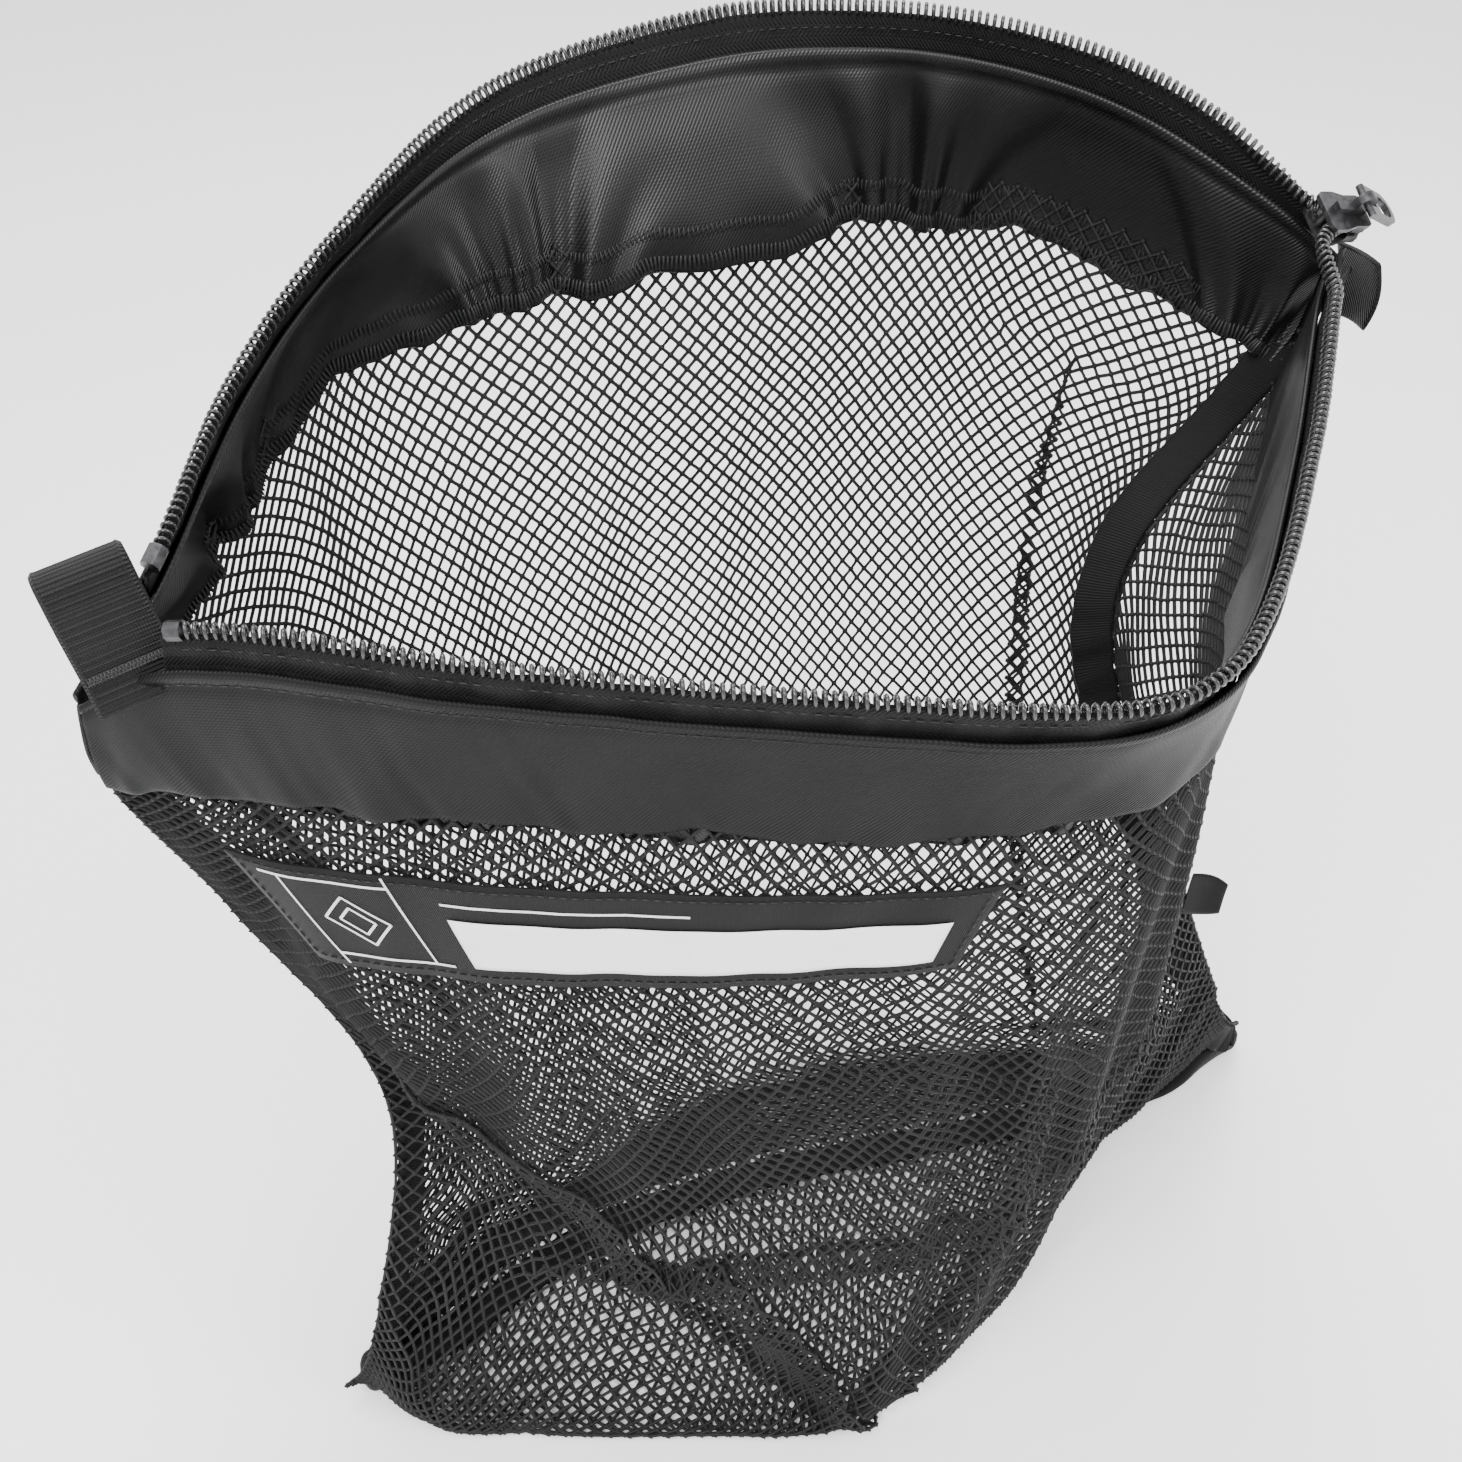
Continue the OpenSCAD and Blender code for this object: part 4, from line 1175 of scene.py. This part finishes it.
def hang_loop():
    """Webbing that rises from the seam, bends over and comes back down."""
    w, t, gap, tall = 0.020, 0.0015, 0.007, 0.0248
    rows, face_cols, rib_pitch = 260, 25, 0.0016
    r = gap / 2 + t / 2
    top = tall - gap / 2 - t
    arc = np.linspace(0, math.pi, 15)
    side = [(-0.0012, -0.009), (-0.0012, -0.004), (-0.0014, 0.0), (-0.0026, 0.005), (-0.0039, 0.010)]
    side += [(-r, 0.0145), (-r, top)]
    bend = [(-r * math.cos(a), top + r * math.sin(a)) for a in arc[1:-1]]
    outline = side + bend + [(-y, z) for y, z in side[::-1]]
    line, length = resample(np.array([(0, y, z) for y, z in outline]), rows)
    along = np.linspace(0, length, rows)
    tangent = unit(np.gradient(line, axis=0))
    out = np.stack([0 * tangent[:, 0], -tangent[:, 2], tangent[:, 1]], -1)
    x = np.concatenate([np.linspace(-w / 2, w / 2, face_cols), np.linspace(w / 2, -w / 2, face_cols)])
    face = np.concatenate([np.ones(face_cols), -np.ones(face_cols)])
    edge = smooth(w / 2 - 0.0016, w / 2 - 0.0006, np.abs(x)) * 0.0005
    rib = 0.00012 * np.sin(2 * math.pi * along / rib_pitch)
    half = t / 2 + edge[None, :] + rib[:, None] * (edge < 0.0002)[None, :]
    half = half * np.sqrt(np.clip(1 - (np.abs(x) / (w / 2 + 1e-6)) ** 14, 0.02, 1))[None, :]
    raised = out[:, None] * (half * face[None, :])[..., None]
    points = line[:, None] + raised + np.array([1, 0, 0])[None, None] * x[None, :, None]
    uv = np.stack([np.broadcast_to(along[:, None], half.shape), np.broadcast_to(x, half.shape)], -1)
    webbing = tube_grid("hang_loop_webbing", on_loop(points), uv)
    return finish_piece(webbing, WEBBING, ["hang_loop"])


def loop_tack():
    """A dense zigzag of thread across the foot of the loop."""
    turns, half_w = 44, 0.0088
    zigzag = np.array([
        (-half_w + 2 * half_w * k / turns, -0.0022 - 0.0002 * (k % 2), 0.0002 - 0.0016 * (k % 2))
        for k in range(turns + 1)
    ])
    bead = stitch_piece("bead", 0.0018, 0.0003)
    sides = np.tile(on_loop(np.array([0, -1.0, 0])) - on_loop(np.zeros(3)), (len(zigzag), 1))
    return sew("loop_bar_stitches", on_loop(zigzag), sides, 0.0006, bead, 0.1, 3, ["loop_bar_tack"])


def folded_flap(name, origin, across, down, normal, wide, long, thick, bow, material, node):
    """A doubled piece of cloth hanging from origin, bowed a little, with rounded edges."""
    n, m = 40, 16
    s = np.linspace(0, 1, n)
    t = np.concatenate([np.linspace(-1, 1, m), np.linspace(1, -1, m)])
    face = np.concatenate([np.ones(m), -np.ones(m)])
    half = thick / 2 * np.sqrt(np.clip(1 - np.abs(t) ** 10, 0.03, 1))
    ends = np.sqrt(np.clip(1 - s**12, 0.03, 1))
    shape = half[None, :] * face[None, :] * ends[:, None]
    lift = shape + bow * np.sin(math.pi * s)[:, None] + 0.3 * bow * np.cos(2.5 * t)[None, :]
    taper = t[None, :] * (1 - 0.3 * s[:, None] ** 3)
    fall = s[:, None, None] * long * np.asarray(down)
    spread = taper[..., None] * wide / 2 * np.asarray(across)
    points = np.asarray(origin) + fall + spread + lift[..., None] * np.asarray(normal)
    uv_across = np.broadcast_to(t * wide / 2, shape.shape)
    uv = np.stack([uv_across, np.broadcast_to(s[:, None] * long, shape.shape)], -1)
    return finish_piece(tube_grid(name, points, uv), material, [node])


loop = hang_loop()
tack = loop_tack()
tab_low, tab_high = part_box("end_tab")
tab_top = [(tab_low[0] + tab_high[0]) / 2, (tab_low[1] + tab_high[1]) / 2, tab_high[2]]
tab = folded_flap(
    "end_tab_cloth", tab_top, across=[0, 1, 0], down=[0.18, 0, -0.98], normal=[0.98, 0, 0.18],
    wide=tab_high[1] - tab_low[1], long=tab_high[2] - tab_low[2], thick=0.0016, bow=0.0016,
    material=SATIN, node="end_tab")
flag_low, flag_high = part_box("flag_label")
flag_root = [flag_low[0], flag_high[1], (flag_low[2] + flag_high[2]) / 2]
flag = folded_flap(
    "flag_label_cloth", flag_root, across=[0, 0, 1], down=[0.82, -0.57, 0], normal=[0.57, 0.82, 0],
    wide=flag_high[2] - flag_low[2], long=0.012, thick=0.001, bow=0.0008,
    material=LABEL, node="flag_label")
print("loop faces", len(loop.data.polygons), "tab", len(tab.data.polygons), "flag", len(flag.data.polygons))

# %% [markdown]
# ## Slider and stops
# These are cast metal with softened edges. Their shapes are already right in the solids, so those are shown
# as they are. A small bevel catches the light along their edges.


# %% Hardware
for node in ("slider_body", "slider_bridge", "pull_tab", "zip_bottom_stop", "zip_top_stops"):
    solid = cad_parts[node]
    solid.data.materials.clear()
    solid.data.materials.append(METAL)
    bevel = solid.modifiers.new("edges", "BEVEL")
    bevel.width, bevel.segments, bevel.limit_method = 0.00022, 2, "ANGLE"
    bevel.angle_limit = math.radians(40)
    print(node, "bevelled by", round(bevel.width / MM, 2), "mm")

# %% [markdown]
# ## The net sheets
# Each half panel of net is a sheet of its own cut size. The pieces sewn to it are laid on the same panels, so
# they follow its shape.

# %% Sheets
print("sheets", len(nets))

# %% [markdown]
# ## Floor, light and camera
# Black cloth shows its weave only in soft, wide light. So the floor is pale and seamless, the surround is
# bright and even, a large soft key stands at the upper left, and a fill and a top light lift the folds. The
# camera looks down into the mouth from the front left.


# %% Studio
def area_light(name, place, target, size, power):
    light = bpy.data.lights.new(name, "AREA")
    light.shape, light.size, light.energy = "DISK", size, power
    obj = bpy.data.objects.new(name, light)
    obj.location = place
    obj.rotation_euler = (Vector(target) - Vector(place)).to_track_quat("-Z", "Y").to_euler()
    bpy.context.scene.collection.objects.link(obj)


def studio():
    floor = square_plate("floor", 6, -0.0002)
    paint = bpy.data.materials.new("floor_paint")
    paint.use_nodes = True
    shader = paint.node_tree.nodes["Principled BSDF"]
    shader.inputs["Base Color"].default_value = (0.95, 0.95, 0.95, 1)
    shader.inputs["Roughness"].default_value = 0.9
    floor.data.materials.append(paint)
    world = bpy.data.worlds.new("surround")
    world.use_nodes = True
    world.node_tree.nodes["Background"].inputs["Color"].default_value = (1, 1, 1, 1)
    world.node_tree.nodes["Background"].inputs["Strength"].default_value = 1.7
    bpy.context.scene.world = world
    area_light("key", (-0.7, -0.5, 1.3), (0, 0, 0.15), 0.9, 26)
    area_light("fill", (0.9, -0.7, 0.8), (0, 0, 0.2), 0.7, 10)
    area_light("top", (0.1, 0.5, 1.4), (0, 0, 0.2), 0.6, 16)


def camera():
    view = bpy.data.cameras.new("view")
    view.sensor_width, view.lens = 36, 36.9
    view.clip_start = 0.01
    obj = bpy.data.objects.new("view", view)
    obj.location = (-0.1576, -0.2582, 0.500)
    ahead = Vector((0.3023, 0.6789, -0.6691))
    obj.rotation_euler = ahead.to_track_quat("-Z", "Y").to_euler()
    bpy.context.scene.collection.objects.link(obj)
    bpy.context.scene.camera = obj


studio()
camera()
print("lights", len(bpy.data.lights), "lens", round(bpy.context.scene.camera.data.lens, 1), "mm")
